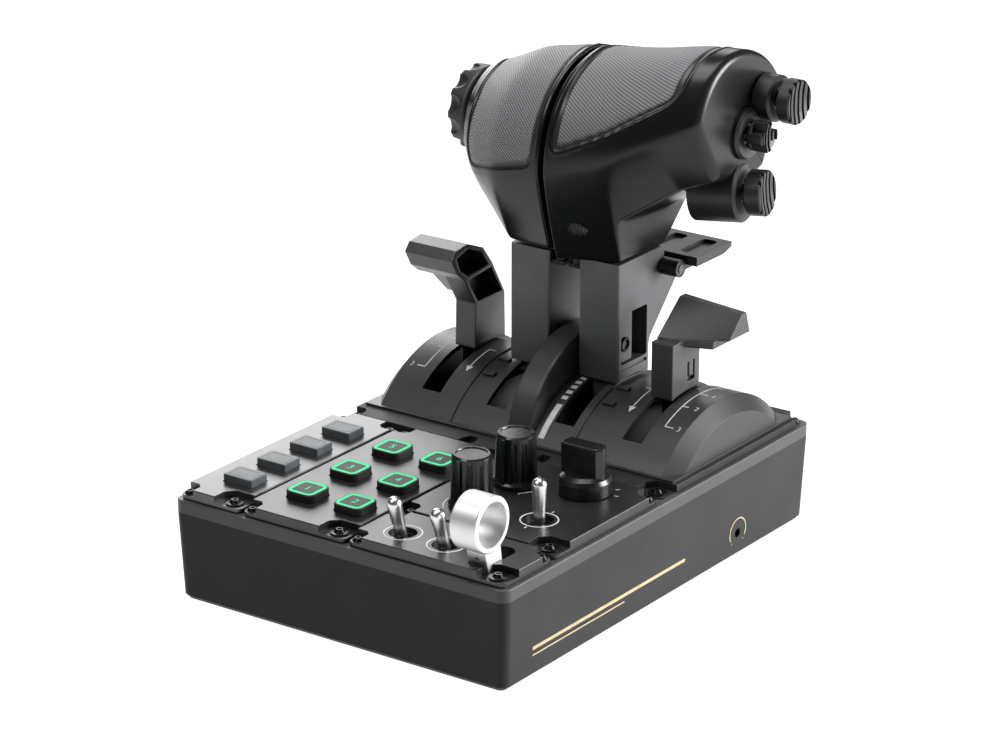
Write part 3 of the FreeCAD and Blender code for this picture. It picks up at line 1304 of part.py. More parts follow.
def makeGripSeats():
    """Seats in the right grip for the hat sockets, the rear button and the slider."""
    tools = []
    for name, spot, turned, bezel in (("middle", middleSpot, (0, 0), middleBezel),
                                      ("lower", lowerSpot, lowerTurn, lowerBezel)):
        tool = rod(name + "Seat", 0, 0, bezel[1], bezel[1] + 40, bezel[0] + seatGap)
        tool.setExpression("Placement.Base.z", None)
        lying = doc.addObject("Part::Compound", name + "SeatTool")
        tool.Placement = Placement(Vector(0, 0, (bezel[1] - seatGap).value), Rotation())
        lying.Links = [tool]
        aim(lying, spot[0], spot[1], spot[2], *turned)
        tools.append(lying)
    tools.append(crossRod("rearWell", sz.gripRightEnd - 6.6, sz.gripRightEnd + 1, buttonY,
                          buttonZ, rearRadius + 0.15))
    tools.append(block("sliderWell", sliderX - 9, sliderX + 9, 38, sliderBack + 0.4,
                       sliderZ - 3.75, sliderZ + 3.75))
    node("rear_button", crossRod("rearButton", sz.gripRightEnd - 5, sz.gripRightEnd + 3.4,
                                 buttonY, buttonZ, rearRadius))
    node("front_slider", block("frontSlider", sliderX - 4.8, sliderX + 4.8, sliderBack - 6.4,
                               sliderBack, sliderZ - 3.4, sliderZ + 3.4))
    nodes["right_grip"] = join("rightGripCut", "Cut", [
        rightGrip.body, join("gripTools", "Compound", tools)])


seatGap = asSize(0.1)
buttonY = asSize(122.5)
buttonZ = asSize(205)
rearRadius = asSize(3.6)
sliderX = asSize(12)
sliderZ = asSize(164.8)
sliderBack = asSize(52.6)
makeGripSeats()


# Finish -------------------------------------------------------------------------

doc.recompute()
for thing in doc.Objects:
    if "Invalid" in thing.State or "Error" in thing.State:
        raise RuntimeError("%s failed: %s" % (thing.Label, thing.State))
for thing in doc.Objects:
    if thing.TypeId in ("PartDesign::Pocket", "PartDesign::SubtractiveLoft"):
        before = thing.BaseFeature.Shape.Volume
        if thing.Shape.Volume > before - 0.01:
            raise RuntimeError("%s cuts nothing" % thing.Label)
for label, thing in nodes.items():
    shape = thing.Shape
    if shape.isNull() or not shape.isValid() or not shape.Solids:
        raise RuntimeError("%s has no valid solid" % label)
    shape.exportStep("parts/%s.step" % label)
    print("%-24s %2d solids %10.1f mm3" % (label, len(shape.Solids), shape.Volume))
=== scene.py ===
# A desk throttle quadrant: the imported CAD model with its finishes, grips, caps and prints.
import bpy
import json
import math
import numpy as np
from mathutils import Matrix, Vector

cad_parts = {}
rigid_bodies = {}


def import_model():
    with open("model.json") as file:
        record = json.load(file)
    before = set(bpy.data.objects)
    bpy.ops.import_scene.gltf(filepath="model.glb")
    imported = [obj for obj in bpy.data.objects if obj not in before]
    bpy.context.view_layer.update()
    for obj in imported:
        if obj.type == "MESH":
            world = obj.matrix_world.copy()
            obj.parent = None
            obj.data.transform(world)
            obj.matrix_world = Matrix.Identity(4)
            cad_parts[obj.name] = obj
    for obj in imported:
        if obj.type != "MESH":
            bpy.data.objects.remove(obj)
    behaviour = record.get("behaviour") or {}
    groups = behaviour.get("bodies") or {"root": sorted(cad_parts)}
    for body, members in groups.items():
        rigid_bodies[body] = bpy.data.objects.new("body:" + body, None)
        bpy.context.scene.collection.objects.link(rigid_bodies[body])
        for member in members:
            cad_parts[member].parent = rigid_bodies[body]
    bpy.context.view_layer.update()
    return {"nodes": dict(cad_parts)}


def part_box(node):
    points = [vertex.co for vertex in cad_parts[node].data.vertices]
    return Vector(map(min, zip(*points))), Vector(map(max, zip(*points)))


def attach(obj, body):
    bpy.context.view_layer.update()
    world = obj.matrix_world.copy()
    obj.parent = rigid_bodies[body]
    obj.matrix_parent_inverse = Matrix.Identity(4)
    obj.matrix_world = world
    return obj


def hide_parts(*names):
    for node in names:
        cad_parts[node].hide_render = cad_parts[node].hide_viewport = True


for old in list(bpy.data.objects):
    bpy.data.objects.remove(old)
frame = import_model()
nodes = frame["nodes"]
mm = 0.001


# Colour and node helpers

def toLinear(hexText):
    # sRGB hex to the linear colour that the shaders want
    values = np.array([int(hexText[k:k + 2], 16) / 255 for k in (0, 2, 4)])
    low = values / 12.92
    high = ((values + 0.055) / 1.055) ** 2.4
    return tuple(np.where(values <= 0.04045, low, high)) + (1.0,)


def addNode(tree, kind, settings=None, inputs=None):
    # one node with its settings; an input takes a value or is joined to a socket
    node = tree.nodes.new("ShaderNode" + kind)
    for name, value in (settings or {}).items():
        setattr(node, name, value)
    for name, value in (inputs or {}).items():
        if isinstance(value, bpy.types.NodeSocket):
            tree.links.new(value, node.inputs[name])
        else:
            node.inputs[name].default_value = value
    return node


def mathNode(tree, operation, first, second):
    # a sum, product or maximum of two sockets
    node = addNode(tree, "Math", {"operation": operation})
    tree.links.new(first, node.inputs[0])
    tree.links.new(second, node.inputs[1])
    return node.outputs["Value"]


def newMaterial(name):
    material = bpy.data.materials.new(name)
    material.use_nodes = True
    tree = material.node_tree
    tree.nodes.clear()
    shader = addNode(tree, "BsdfPrincipled")
    output = addNode(tree, "OutputMaterial")
    tree.links.new(shader.outputs["BSDF"], output.inputs["Surface"])
    return material, tree, shader


def grainedMaterial(name, spec):
    # a base colour clouded by broad noise, with a fine grain that drives bump and
    # roughness, and edges that are rounded and a little paler from handling
    material, tree, shader = newMaterial(name)
    where = addNode(tree, "TexCoord").outputs["Object"]
    broad = addNode(tree, "TexNoise", None, {"Vector": where, "Scale": 1 / (spec["cloud"] * mm),
                                             "Detail": 3.0})
    grain = addNode(tree, "TexNoise", None, {"Vector": where, "Scale": 1 / (spec["grain"] * mm),
                                             "Detail": 2.0, "Roughness": 0.7})
    colour = addNode(tree, "ValToRGB", None, {"Fac": broad.outputs["Fac"]})
    for stop, place, word in zip(colour.color_ramp.elements, (0.3, 0.7), ("dark", "light")):
        stop.position = place
        stop.color = toLinear(spec[word])
    tree.links.new(colour.outputs["Color"], shader.inputs["Base Color"])
    low, high = spec["roughness"]
    rough = addNode(tree, "MapRange", None, {"Value": grain.outputs["Fac"], "To Min": low,
                                             "To Max": high})
    tree.links.new(rough.outputs["Result"], shader.inputs["Roughness"])
    soft = addNode(tree, "Bevel", {"samples": 4}, {"Radius": spec.get("edge", 0.25) * mm})
    bump = addNode(tree, "Bump", None, {"Height": grain.outputs["Fac"], "Strength": 1.0,
                                        "Distance": spec["relief"] * mm,
                                        "Normal": soft.outputs["Normal"]})
    tree.links.new(bump.outputs["Normal"], shader.inputs["Normal"])
    shader.inputs["Metallic"].default_value = spec.get("metallic", 0.0)
    if "ior" in spec:
        shader.inputs["IOR"].default_value = spec["ior"]
    if "glow" in spec:
        tree.links.new(colour.outputs["Color"], shader.inputs["Emission Color"])
        shader.inputs["Emission Strength"].default_value = spec["glow"]
    if "specular" in spec:
        shader.inputs["Specular IOR Level"].default_value = spec["specular"]
    return material


finishes = {
    # spark-eroded mould texture: an even satin grain that spreads highlights widely
    "mouldedAbs": dict(dark="19191a", light="1f1f20", cloud=14, grain=0.35, relief=0.02,
                       roughness=(0.38, 0.52), ior=1.53),
    # the arched covers: the same ABS in a slightly greyer, smoother finish
    "coverAbs": dict(dark="2c2c2d", light="323233", cloud=24, grain=0.3, relief=0.012,
                     roughness=(0.34, 0.46), ior=1.53),
    # the side levers' handles and the fin: a smoother mould finish, well rounded edges
    "leverAbs": dict(dark="3a3a3b", light="404041", cloud=24, grain=0.3, relief=0.008,
                     roughness=(0.28, 0.36), ior=1.53, edge=1.3),
    # bead-blasted, black anodised aluminium: tiny bright pits give a soft metallic sheen
    "anodisedPlate": dict(dark="565758", light="5e5f60", cloud=30, grain=0.22, relief=0.012,
                          roughness=(0.34, 0.42), metallic=0.9),
    # the same anodising on the other three panels, darkened as painted shade that stands in for
    # the sheen fading away to the right
    "paintedShadePlate": dict(dark="434445", light="4a4b4c", cloud=30, grain=0.22, relief=0.012,
                      roughness=(0.34, 0.42), metallic=0.9),
    # painted die-cast frame and tray
    "powderCoat": dict(dark="383839", light="3e3e3f", cloud=30, grain=0.45, relief=0.02,
                       roughness=(0.42, 0.52), ior=1.5, specular=0.12),
    # the pressed deck under the covers, painted near-black as shade, so that the slots look deep
    "deckShadeCoat": dict(dark="1d1d1e", light="232324", cloud=20, grain=0.35, relief=0.015,
                     roughness=(0.5, 0.6), ior=1.5, specular=0.3),
    # the cast frame's face, a shade lighter and smoother than the tray
    "frameCoat": dict(dark="454546", light="4c4c4d", cloud=30, grain=0.4, relief=0.015,
                      roughness=(0.36, 0.46), ior=1.5, specular=0.4),
    # dark anodised arms, milled then blasted
    "anodisedArm": dict(dark="545456", light="5c5c5e", cloud=30, grain=0.25, relief=0.01,
                        roughness=(0.36, 0.46), metallic=0.6),
    # grey key caps, matt moulded
    "keyAbs": dict(dark="4a4d50", light="565a5d", cloud=5, grain=0.2, relief=0.012,
                   roughness=(0.42, 0.55), ior=1.5),
    # smooth moulded knobs and switch bodies
    "glossAbs": dict(dark="111213", light="17181a", cloud=6, grain=0.3, relief=0.006,
                     roughness=(0.22, 0.32), ior=1.5),
    # button caps, spark-eroded so that they don't glare
    "satinAbs": dict(dark="1b1b1c", light="212122", cloud=6, grain=0.25, relief=0.01,
                     roughness=(0.5, 0.6), ior=1.5, specular=0.35),
    # silicone rubber feet: dull, with faint pale clouds
    "siliconeRubber": dict(dark="18181a", light="212123", cloud=4, grain=0.3, relief=0.02,
                           roughness=(0.6, 0.75), ior=1.41),
    # satin chrome plate over brass
    "chromePlate": dict(dark="d2d2d4", light="dddddf", cloud=6, grain=0.5, relief=0.002,
                        roughness=(0.26, 0.32), metallic=1.0),
    # turned and tumbled bare aluminium: a fine grain reads as a satin sheen
    "tumbledAluminium": dict(dark="e2e2e3", light="e9e9ea", cloud=12, grain=0.25, relief=0.004,
                             roughness=(0.44, 0.50), metallic=0.85),
    # black oxide steel screws
    "blackOxide": dict(dark="1b1b1d", light="2a2a2d", cloud=1.5, grain=0.3, relief=0.01,
                       roughness=(0.25, 0.4), metallic=0.9),
    # bright zinc-plated steel: the inlet's shell and the hats' cradle rings
    "brightSteel": dict(dark="7e8083", light="94979a", cloud=4, grain=0.3, relief=0.01,
                        roughness=(0.25, 0.4), metallic=1.0),
    # green glass-epoxy circuit boards
    "boardLaminate": dict(dark="12331c", light="1b4526", cloud=8, grain=0.3, relief=0.01,
                          roughness=(0.4, 0.5), ior=1.5),
    # screen-printed white ink, slightly raised and dull
    "screenInk": dict(dark="c9c9c9", light="dedede", cloud=4, grain=0.3, relief=0.006,
                      roughness=(0.5, 0.62), ior=1.5),
    # metallic gold ink
    "goldInk": dict(dark="c8b48a", light="dccaa2", cloud=4, grain=0.3, relief=0.006,
                    roughness=(0.42, 0.55), ior=1.5),
    # green legend with a lamp behind it: even, with a faint glow
    "litGreen": dict(dark="2fcf83", light="3ddc93", cloud=3, grain=0.3, relief=0.004,
                     roughness=(0.6, 0.7), ior=1.5, glow=0.3, specular=0.2),
    # the grey push button at the end of the right grip
    "paleAbs": dict(dark="6a6c6a", light="767876", cloud=5, grain=0.25, relief=0.01,
                    roughness=(0.35, 0.5), ior=1.5),
}
materials = {name: grainedMaterial(name, spec) for name, spec in finishes.items()}

# which nodes wear which finish
wears = {
    "powderCoat": ["base_tray"],
    "frameCoat": ["top_frame"],
    "anodisedPlate": ["key_panel"],
    # painted shade: the three panels to the right wear a darker copy of the plate finish
    "paintedShadePlate": ["button_panel", "switch_panel", "rotary_panel"],
    # painted shade: the deck seen through the slots is made near-black
    "deckShadeCoat": ["deck_plate"],
    "blackOxide": ["panel_screws", "ring_bracket", "left_lever_blade", "right_lever_blade",
                   "pivot_shaft", "shaft_brackets", "friction_discs", "left_roller",
                   "right_roller"],
    "glossAbs": ["push_switches", "panel_switches", "knob_1", "knob_2", "selector_knob"],
    "satinAbs": ["button_%d" % k for k in range(1, 7)],
    "boardLaminate": ["circuit_boards"],
    "siliconeRubber": ["rubber_feet"],
    "brightSteel": ["data_socket", "upper_hat_cradle", "middle_hat_cradle",
                    "lower_hat_cradle"],
    "coverAbs": ["quadrant_cover_left", "quadrant_cover_right"],
    "leverAbs": ["left_lever", "right_lever", "centre_rib"],
    "anodisedArm": ["left_arm", "right_arm"],
    "mouldedAbs": ["left_grip", "right_grip", "left_finger_lift", "right_finger_lift",
                   "thumb_dial", "upper_hat", "middle_hat", "lower_hat", "lower_hat_socket",
                   "hat_bezels", "front_slider"],
    "tumbledAluminium": ["ring_lever"],
    "chromePlate": ["toggle_1", "toggle_2", "toggle_3"],
    "keyAbs": ["key_%d" % k for k in range(1, 5)],
    "paleAbs": ["rear_button"],
}
for finish, members in wears.items():
    for member in members:
        slots = nodes[member].data.materials
        slots.clear()
        slots.append(materials[finish])
print("finishes: %d materials on %d nodes" % (len(materials), len(nodes)))


# Studio: white floor, soft lamps and the camera

def addLamp(name, spec):
    lamp = bpy.data.lights.new(name, "AREA")
    lamp.shape = "RECTANGLE"
    lamp.size, lamp.size_y = spec["size"]
    lamp.energy = spec["power"]
    lampObject = bpy.data.objects.new(name, lamp)
    bpy.context.scene.collection.objects.link(lampObject)
    lampObject.location = spec["at"]
    lampObject.visible_camera = False
    aim = Vector(spec["towards"]) - Vector(spec["at"])
    lampObject.rotation_euler = aim.to_track_quat("-Z", "Y").to_euler()
    return lampObject


lamps = {
    # a softbox behind on the left lays a sheen across plates and pads
    "backSoft": dict(at=(-1.5, 1.7, 1.1), towards=(-0.02, 0, 0.06), size=(1.3, 0.9), power=9.5),
    # a small card close behind the left plates, so that their sheen fades to the right
    "plateCard": dict(at=(-0.46, 0.36, 0.29), towards=(-0.08, -0.1, 0.06), size=(0.3, 0.3),
                      power=1.05),
    # a softbox on the right lifts the right wall, the arms' sides and the cover's end
    "rightSoft": dict(at=(1.25, 0.85, 0.5), towards=(0.05, 0.03, 0.08), size=(0.8, 0.7),
                      power=44),
    # a wide softbox overhead evens out what the others leave dark
    "topSoft": dict(at=(-0.1, 0.1, 1.6), towards=(0, 0, 0.1), size=(0.9, 0.9), power=16),
    # a softbox high in front on the left, for the ring, the toggles and the levers
    "frontSoft": dict(at=(-0.4, -0.95, 1.4), towards=(0, 0, 0.1), size=(0.6, 0.5), power=9.5),
}
for name, spec in lamps.items():
    addLamp(name, spec)


def floorMaterial():
    # grey card that the camera and reflections see as white, with the shadow kept
    material, tree, shader = newMaterial("whiteCard")
    shader.inputs["Base Color"].default_value = toLinear("8c8c8c")
    shader.inputs["Roughness"].default_value = 0.9
    shader.inputs["Emission Color"].default_value = (1, 1, 1, 1)
    path = addNode(tree, "LightPath")
    seen = mathNode(tree, "ADD", path.outputs["Is Camera Ray"], path.outputs["Is Glossy Ray"])
    either = mathNode(tree, "MAXIMUM", seen, path.outputs["Is Transmission Ray"])
    glow = addNode(tree, "MapRange", None, {"Value": either, "To Min": 0.0, "To Max": 1.0})
    tree.links.new(glow.outputs["Result"], shader.inputs["Emission Strength"])
    return material


def makeFloor():
    plane = bpy.data.meshes.new("floor")
    reach = 6  # metres
    plane.from_pydata([(-reach, -reach, 0), (reach, -reach, 0), (reach, reach, 0),
                       (-reach, reach, 0)], [], [(0, 1, 2, 3)])
    floor = bpy.data.objects.new("floor", plane)
    bpy.context.scene.collection.objects.link(floor)
    plane.materials.append(floorMaterial())


def makeWorld():
    # white to the camera, and hardly any light of its own
    world = bpy.data.worlds.new("studio")
    bpy.context.scene.world = world
    world.use_nodes = True
    backdrop = world.node_tree.nodes["Background"]
    backdrop.inputs["Color"].default_value = (1, 1, 1, 1)
    path = addNode(world.node_tree, "LightPath")
    glow = addNode(world.node_tree, "MapRange", None, {
        "Value": path.outputs["Is Camera Ray"], "To Min": 0.05, "To Max": 1.0})
    world.node_tree.links.new(glow.outputs["Result"], backdrop.inputs["Strength"])


# the camera's place in metres and its angles in degrees; its lens in millimetres
view = dict(at=(1.07593, -1.50959, 0.78576), azimuth=35.562, elevation=20.272, lens=143.99)


def makeCamera():
    camera = bpy.data.cameras.new("camera")
    camera.lens = view["lens"]
    camera.sensor_width = 36
    camera.clip_end = 20
    cameraObject = bpy.data.objects.new("camera", camera)
    bpy.context.scene.collection.objects.link(cameraObject)
    cameraObject.location = view["at"]
    cameraObject.rotation_euler = (math.radians(90 - view["elevation"]), 0,
                                   math.radians(view["azimuth"]))
    bpy.context.scene.camera = cameraObject


makeFloor()
makeWorld()
makeCamera()
bpy.context.scene.view_settings.view_transform = "Standard"
print("studio: %d lamps, floor, world and camera" % len(lamps))


# Surfaces: grids of points in millimetres made into meshes

def addPiece(name, vertices, faces, material, body, uvs=None, masks=None,
             smooth=True):
    # puts arrays into a mesh, turned outwards if the solid they close came out inside out
    vertices = np.asarray(vertices, float) * mm
    faces = [np.asarray(face) for face in faces]
    volume = 0.0
    for face in faces:
        for k in range(1, face.shape[1] - 1):
            a, b, c = vertices[face[:, 0]], vertices[face[:, k]], vertices[face[:, k + 1]]
            volume += np.sum(a * np.cross(b, c))
    if volume < 0:
        faces = [face[:, ::-1] for face in faces]
        uvs = uvs and [uv[:, ::-1] for uv in uvs]
    mesh = bpy.data.meshes.new(name)
    mesh.from_pydata(vertices.tolist(), [], [f for face in faces for f in face.tolist()])
    # the fans that close the ends are flat, so they stay flat shaded
    rounded = [smooth and face.shape[1] == 4 for face in faces for _ in face]
    mesh.polygons.foreach_set("use_smooth", rounded)
    if uvs:
        layer = mesh.uv_layers.new(name="UVMap")
        layer.data.foreach_set("uv", np.concatenate([uv.reshape(-1) for uv in uvs]))
    for label, values in (masks or {}).items():
        layer = mesh.attributes.new(label, "FLOAT", "POINT")
        layer.data.foreach_set("value", np.asarray(values, float).ravel())
    mesh.materials.append(material)
    piece = bpy.data.objects.new(name, mesh)
    bpy.context.scene.collection.objects.link(piece)
    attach(piece, body)
    return piece


def gridFaces(rows, columns, closedRows=False, closedColumns=True, start=0):
    # quads between neighbouring rows and columns of a grid, wrapped where it closes
    u = np.arange(rows if closedRows else rows - 1)
    v = np.arange(columns if closedColumns else columns - 1)
    u, v = np.meshgrid(u, v, indexing="ij")
    un, vn = (u + 1) % rows, (v + 1) % columns
    quads = np.stack([u * columns + v, un * columns + v, un * columns + vn, u * columns + vn], -1)
    return quads.reshape(-1, 4) + start


def capFaces(ring, centre, flip):
    # a fan from a ring of points to the point in its middle
    fan = np.stack([ring, np.roll(ring, -1), np.full(len(ring), centre)], -1)
    return fan[:, ::-1] if flip else fan


def closedTube(points):
    # rings of points along a path, with a fan over each end; returns vertices and faces
    rows, columns = points.shape[:2]
    first, last = points[0].mean(0), points[-1].mean(0)
    vertices = np.concatenate([points.reshape(-1, 3), [first, last]])
    ring = np.arange(columns)
    return vertices, [gridFaces(rows, columns),
                      np.concatenate([capFaces(ring, rows * columns, False),
                                      capFaces((rows - 1) * columns + ring,
                                               rows * columns + 1, True)])]


# Grips: sections across the width, smoothed into one skin, with a sunk textured pad

gripAt = dict(front=33.5, depth=100.0, low=147.4, height=107.0)
grips = {
    # corners in shares of depth and height, from the front bottom up and over the top;
    # bulge of the edge that leaves each
    "left": dict(
        body="left_throttle", node="left_grip", sign=-1, soft=2.2, endRound=5.0,
        pad=dict(low=(4.4, 1.5), high=(62, 92), corner=7, slant=0.0),
        sections=[
            (1.6, [(0.125, 0.036), (0.0, 0.455), (0.515, 0.965), (0.985, 0.50), (0.86, 0.26),
                   (0.64, 0.006)]),
            (33.3, [(0.22, 0.012), (0.05, 0.38), (0.525, 0.91), (0.945, 0.47), (0.83, 0.24),
                    (0.64, 0.006)]),
            (54, [(0.285, 0.195), (0.165, 0.33), (0.56, 0.82), (0.875, 0.45), (0.77, 0.27),
                  (0.615, 0.185)]),
            (72, [(0.455, 0.325), (0.333, 0.455), (0.595, 0.75), (0.853, 0.49), (0.745, 0.305),
                  (0.60, 0.265)])],
        bulge=[0.04, 0.40, 0.40, 0.10, 0.04, 0.0]),
    "right": dict(
        body="right_throttle", node="right_grip", sign=1, soft=1.7, endRound=3.6,
        pad=dict(low=(5, 7.5), high=(64, 84), corner=6, slant=0.17),
        sections=[
            (1.6, [(0.125, 0.004), (0.0, 0.455), (0.515, 0.965), (0.965, 0.70), (0.92, 0.30),
                   (0.64, 0.003)]),
            (33.3, [(0.250, 0.003), (0.065, 0.54), (0.585, 0.99), (1.03, 0.64), (0.90, 0.26),
                    (0.64, 0.003)]),
            (34.6, [(0.178, 0.225), (0.068, 0.545), (0.588, 0.991), (1.031, 0.643),
                    (0.96, 0.35), (0.80, 0.19)]),
            (58, [(0.40, 0.37), (0.155, 0.65), (0.66, 1.02), (1.055, 0.72), (0.89, 0.37),
                  (0.74, 0.33)]),
            (75.9, [(0.475, 0.436), (0.282, 0.74), (0.764, 1.001), (1.046, 0.814),
                    (0.905, 0.405), (0.74, 0.365)])],
        bulge=[0.04, 0.43, 0.20, 0.08, 0.05, 0.0]),
}
# counts of rows, of points along each edge and of blended sections; then millimetres of
# rounding at the split and of smoothing over shoulder and neck; then where, counted in
# edges, the underside's crisp neck fades out
gripForm = dict(rows=150, around=70, blended=320, endSteps=7, splitRound=1.3, shoulder=3.5,
                neck=0.8, frontFade=(0.05, 0.9), backFade=(3.3, 3.9))
# the pad lies in a sunk band with a raised lip; pairs say how far inside the outline, in
# millimetres, each form or mask begins and is full
padForm = dict(sink=0.75, wall=(0.0, 0.7), rise=0.6, pillow=(3.0, 3.5), lip=0.3, lipAt=0.9,
               lipWide=0.55, rubber=(3.0, 3.6), band=(0.1, 0.6))


def smoothAlong(values, spacing, width, closed):
    # a Gaussian running mean along the first axis, over a width in millimetres
    half = max(1, int(math.ceil(3 * width / spacing)))
    steps = np.arange(-half, half + 1) * spacing
    weights = np.exp(-0.5 * (steps / width) ** 2)
    weights /= weights.sum()
    if closed:
        padded = np.concatenate([values[-half:], values, values[:half]])
    else:
        before = 2 * values[0] - values[half:0:-1]
        after = 2 * values[-1] - values[-2:-half - 2:-1]
        padded = np.concatenate([before, values, after])
    return sum(w * padded[k:k + len(values)] for k, w in enumerate(weights))


def sectionLoop(corners, bulges):
    # each edge is its chord plus an outward parabola, half the bulge of its length high
    corners = np.array([(gripAt["front"] + gripAt["depth"] * y,
                         gripAt["low"] + gripAt["height"] * z) for y, z in corners])
    share = np.linspace(0, 1, gripForm["around"], endpoint=False)[:, None]
    after = np.roll(corners, -1, 0)
    loops = []
    for here, there, bulge in zip(corners, after, bulges):
        chord = there - here
        outward = np.array([-chord[1], chord[0]])
        loops.append(here + chord * share + outward * bulge * 2 * share * (1 - share))
    return np.concatenate(loops)


def ramp(values, low, high):
    # 0 below low, 1 above high, and an even S between them
    share = np.clip((values - low) / (high - low), 0, 1)
    return share * share * (3 - 2 * share)


def roundedBox(a, b, low, high, corner):
    # signed distance to a rectangle with rounded corners, negative inside
    middle = (np.array(low) + high) / 2
    half = (np.array(high) - low) / 2 - corner
    da, db = np.abs(a - middle[0]) - half[0], np.abs(b - middle[1]) - half[1]
    outside = np.hypot(np.maximum(da, 0), np.maximum(db, 0))
    return outside + np.minimum(np.maximum(da, db), 0) - corner


def acrossRows(spec):
    # where the rows lie, closer together where both ends turn in
    start, end = spec["sections"][0][0], spec["sections"][-1][0]
    split, outer = gripForm["splitRound"], spec["endRound"]
    bend = np.linspace(0, math.pi / 2, gripForm["endSteps"])
    near = start + split * (1 - np.cos(bend[:-1]))
    far = end - outer * (1 - np.cos(bend[::-1][1:]))
    middle = np.linspace(start + split, end - outer, gripForm["rows"])
    return np.concatenate([near, middle, far])


def blendSections(spec, across):
    # straight blends of neighbouring sections at even steps are smoothed along the
    # width, and each row is then read between the two nearest
    stations = np.array([x for x, _ in spec["sections"]])
    loops = np.array([sectionLoop(corners, spec["bulge"]) for _, corners in spec["sections"]])
    start, end, last = stations[0], stations[-1], gripForm["blended"] - 1
    even = np.linspace(start, end, gripForm["blended"])
    at = np.clip(np.searchsorted(stations, even, side="right") - 1, 0, len(stations) - 2)
    share = ((even - stations[at]) / (stations[at + 1] - stations[at]))[:, None, None]
    skin = loops[at] * (1 - share) + loops[at + 1] * share
    step = even[1] - even[0]
    soft, crisp = (smoothAlong(skin, step, gripForm[word], False) for word in ("shoulder", "neck"))
    # the underside, from the back corner round to the front plane, keeps its crisp neck
    edge = np.arange(skin.shape[1]) / gripForm["around"]
    under = 1 - ramp(edge, *gripForm["frontFade"]) + ramp(edge, *gripForm["backFade"])
    under = under[None, :, None]
    skin = soft * (1 - under) + crisp * under
    place = np.clip((across - start) / (end - start) * last, 0, last - 0.001)
    floor, part = place.astype(int), (place % 1)[:, None, None]
    return skin[floor] * (1 - part) + skin[floor + 1] * part


def turnedIn(spec, across):
    # how far each row is drawn in, by a quarter circle at either end
    drawn = np.zeros_like(across)
    for edge, reach in ((across - across[0], gripForm["splitRound"]),
                        (across[-1] - across, spec["endRound"])):
        inside = np.clip(1 - edge / reach, 0, 1)
        drawn += reach * (1 - np.sqrt(1 - inside * inside))
    return drawn


def padRelief(pad, x, travel):
    # how far the pad lifts the skin, and the masks that the material reads
    away = roundedBox(x, travel - pad["slant"] * x, pad["low"], pad["high"], pad["corner"])
    lift = (padForm["rise"] * ramp(-away, *padForm["pillow"])
            - padForm["sink"] * ramp(-away, *padForm["wall"])
            + padForm["lip"] * np.exp(-((away - padForm["lipAt"]) / padForm["lipWide"]) ** 2))
    return lift, {"padMask": ramp(-away, *padForm["rubber"]),
                  "bandMask": ramp(-away, *padForm["band"])}


def gripSkin(spec):
    # rows run across the width; each is a section softened round its corners, moved
    # square to itself by the pad's relief and drawn in towards both ends
    across = acrossRows(spec)
    skin = blendSections(spec, across)
    spacing = np.linalg.norm(np.diff(skin, axis=1), axis=2).mean()
    skin = np.swapaxes(smoothAlong(np.swapaxes(skin, 0, 1), spacing, spec["soft"], True), 0, 1)
    tangent = np.roll(skin, -1, 1) - np.roll(skin, 1, 1)
    tangent /= np.linalg.norm(tangent, axis=2, keepdims=True)
    outward = np.stack([-tangent[..., 1], tangent[..., 0]], -1)
    # the way travelled round the section, from the corner at its front
    length = np.linalg.norm(np.roll(skin, -1, 1) - skin, axis=2)
    travel = np.cumsum(length, axis=1) - length
    travel = travel - travel[:, gripForm["around"]][:, None]
    x = np.repeat(across[:, None], skin.shape[1], 1)
    lift, masks = padRelief(spec["pad"], x, travel)
    lift = lift - turnedIn(spec, across)[:, None]
    skin = skin + outward * lift[..., None]
    vertices, faces = closedTube(np.concatenate([(x * spec["sign"])[..., None], skin], -1))
    # the points in the middle of both end fans come last and lie off the pad
    uv = np.concatenate([np.stack([x, travel], -1).reshape(-1, 2), np.zeros((2, 2))])
    masks = {name: np.append(values, [0, 0]) for name, values in masks.items()}
    return vertices, faces, [uv[face] for face in faces], masks


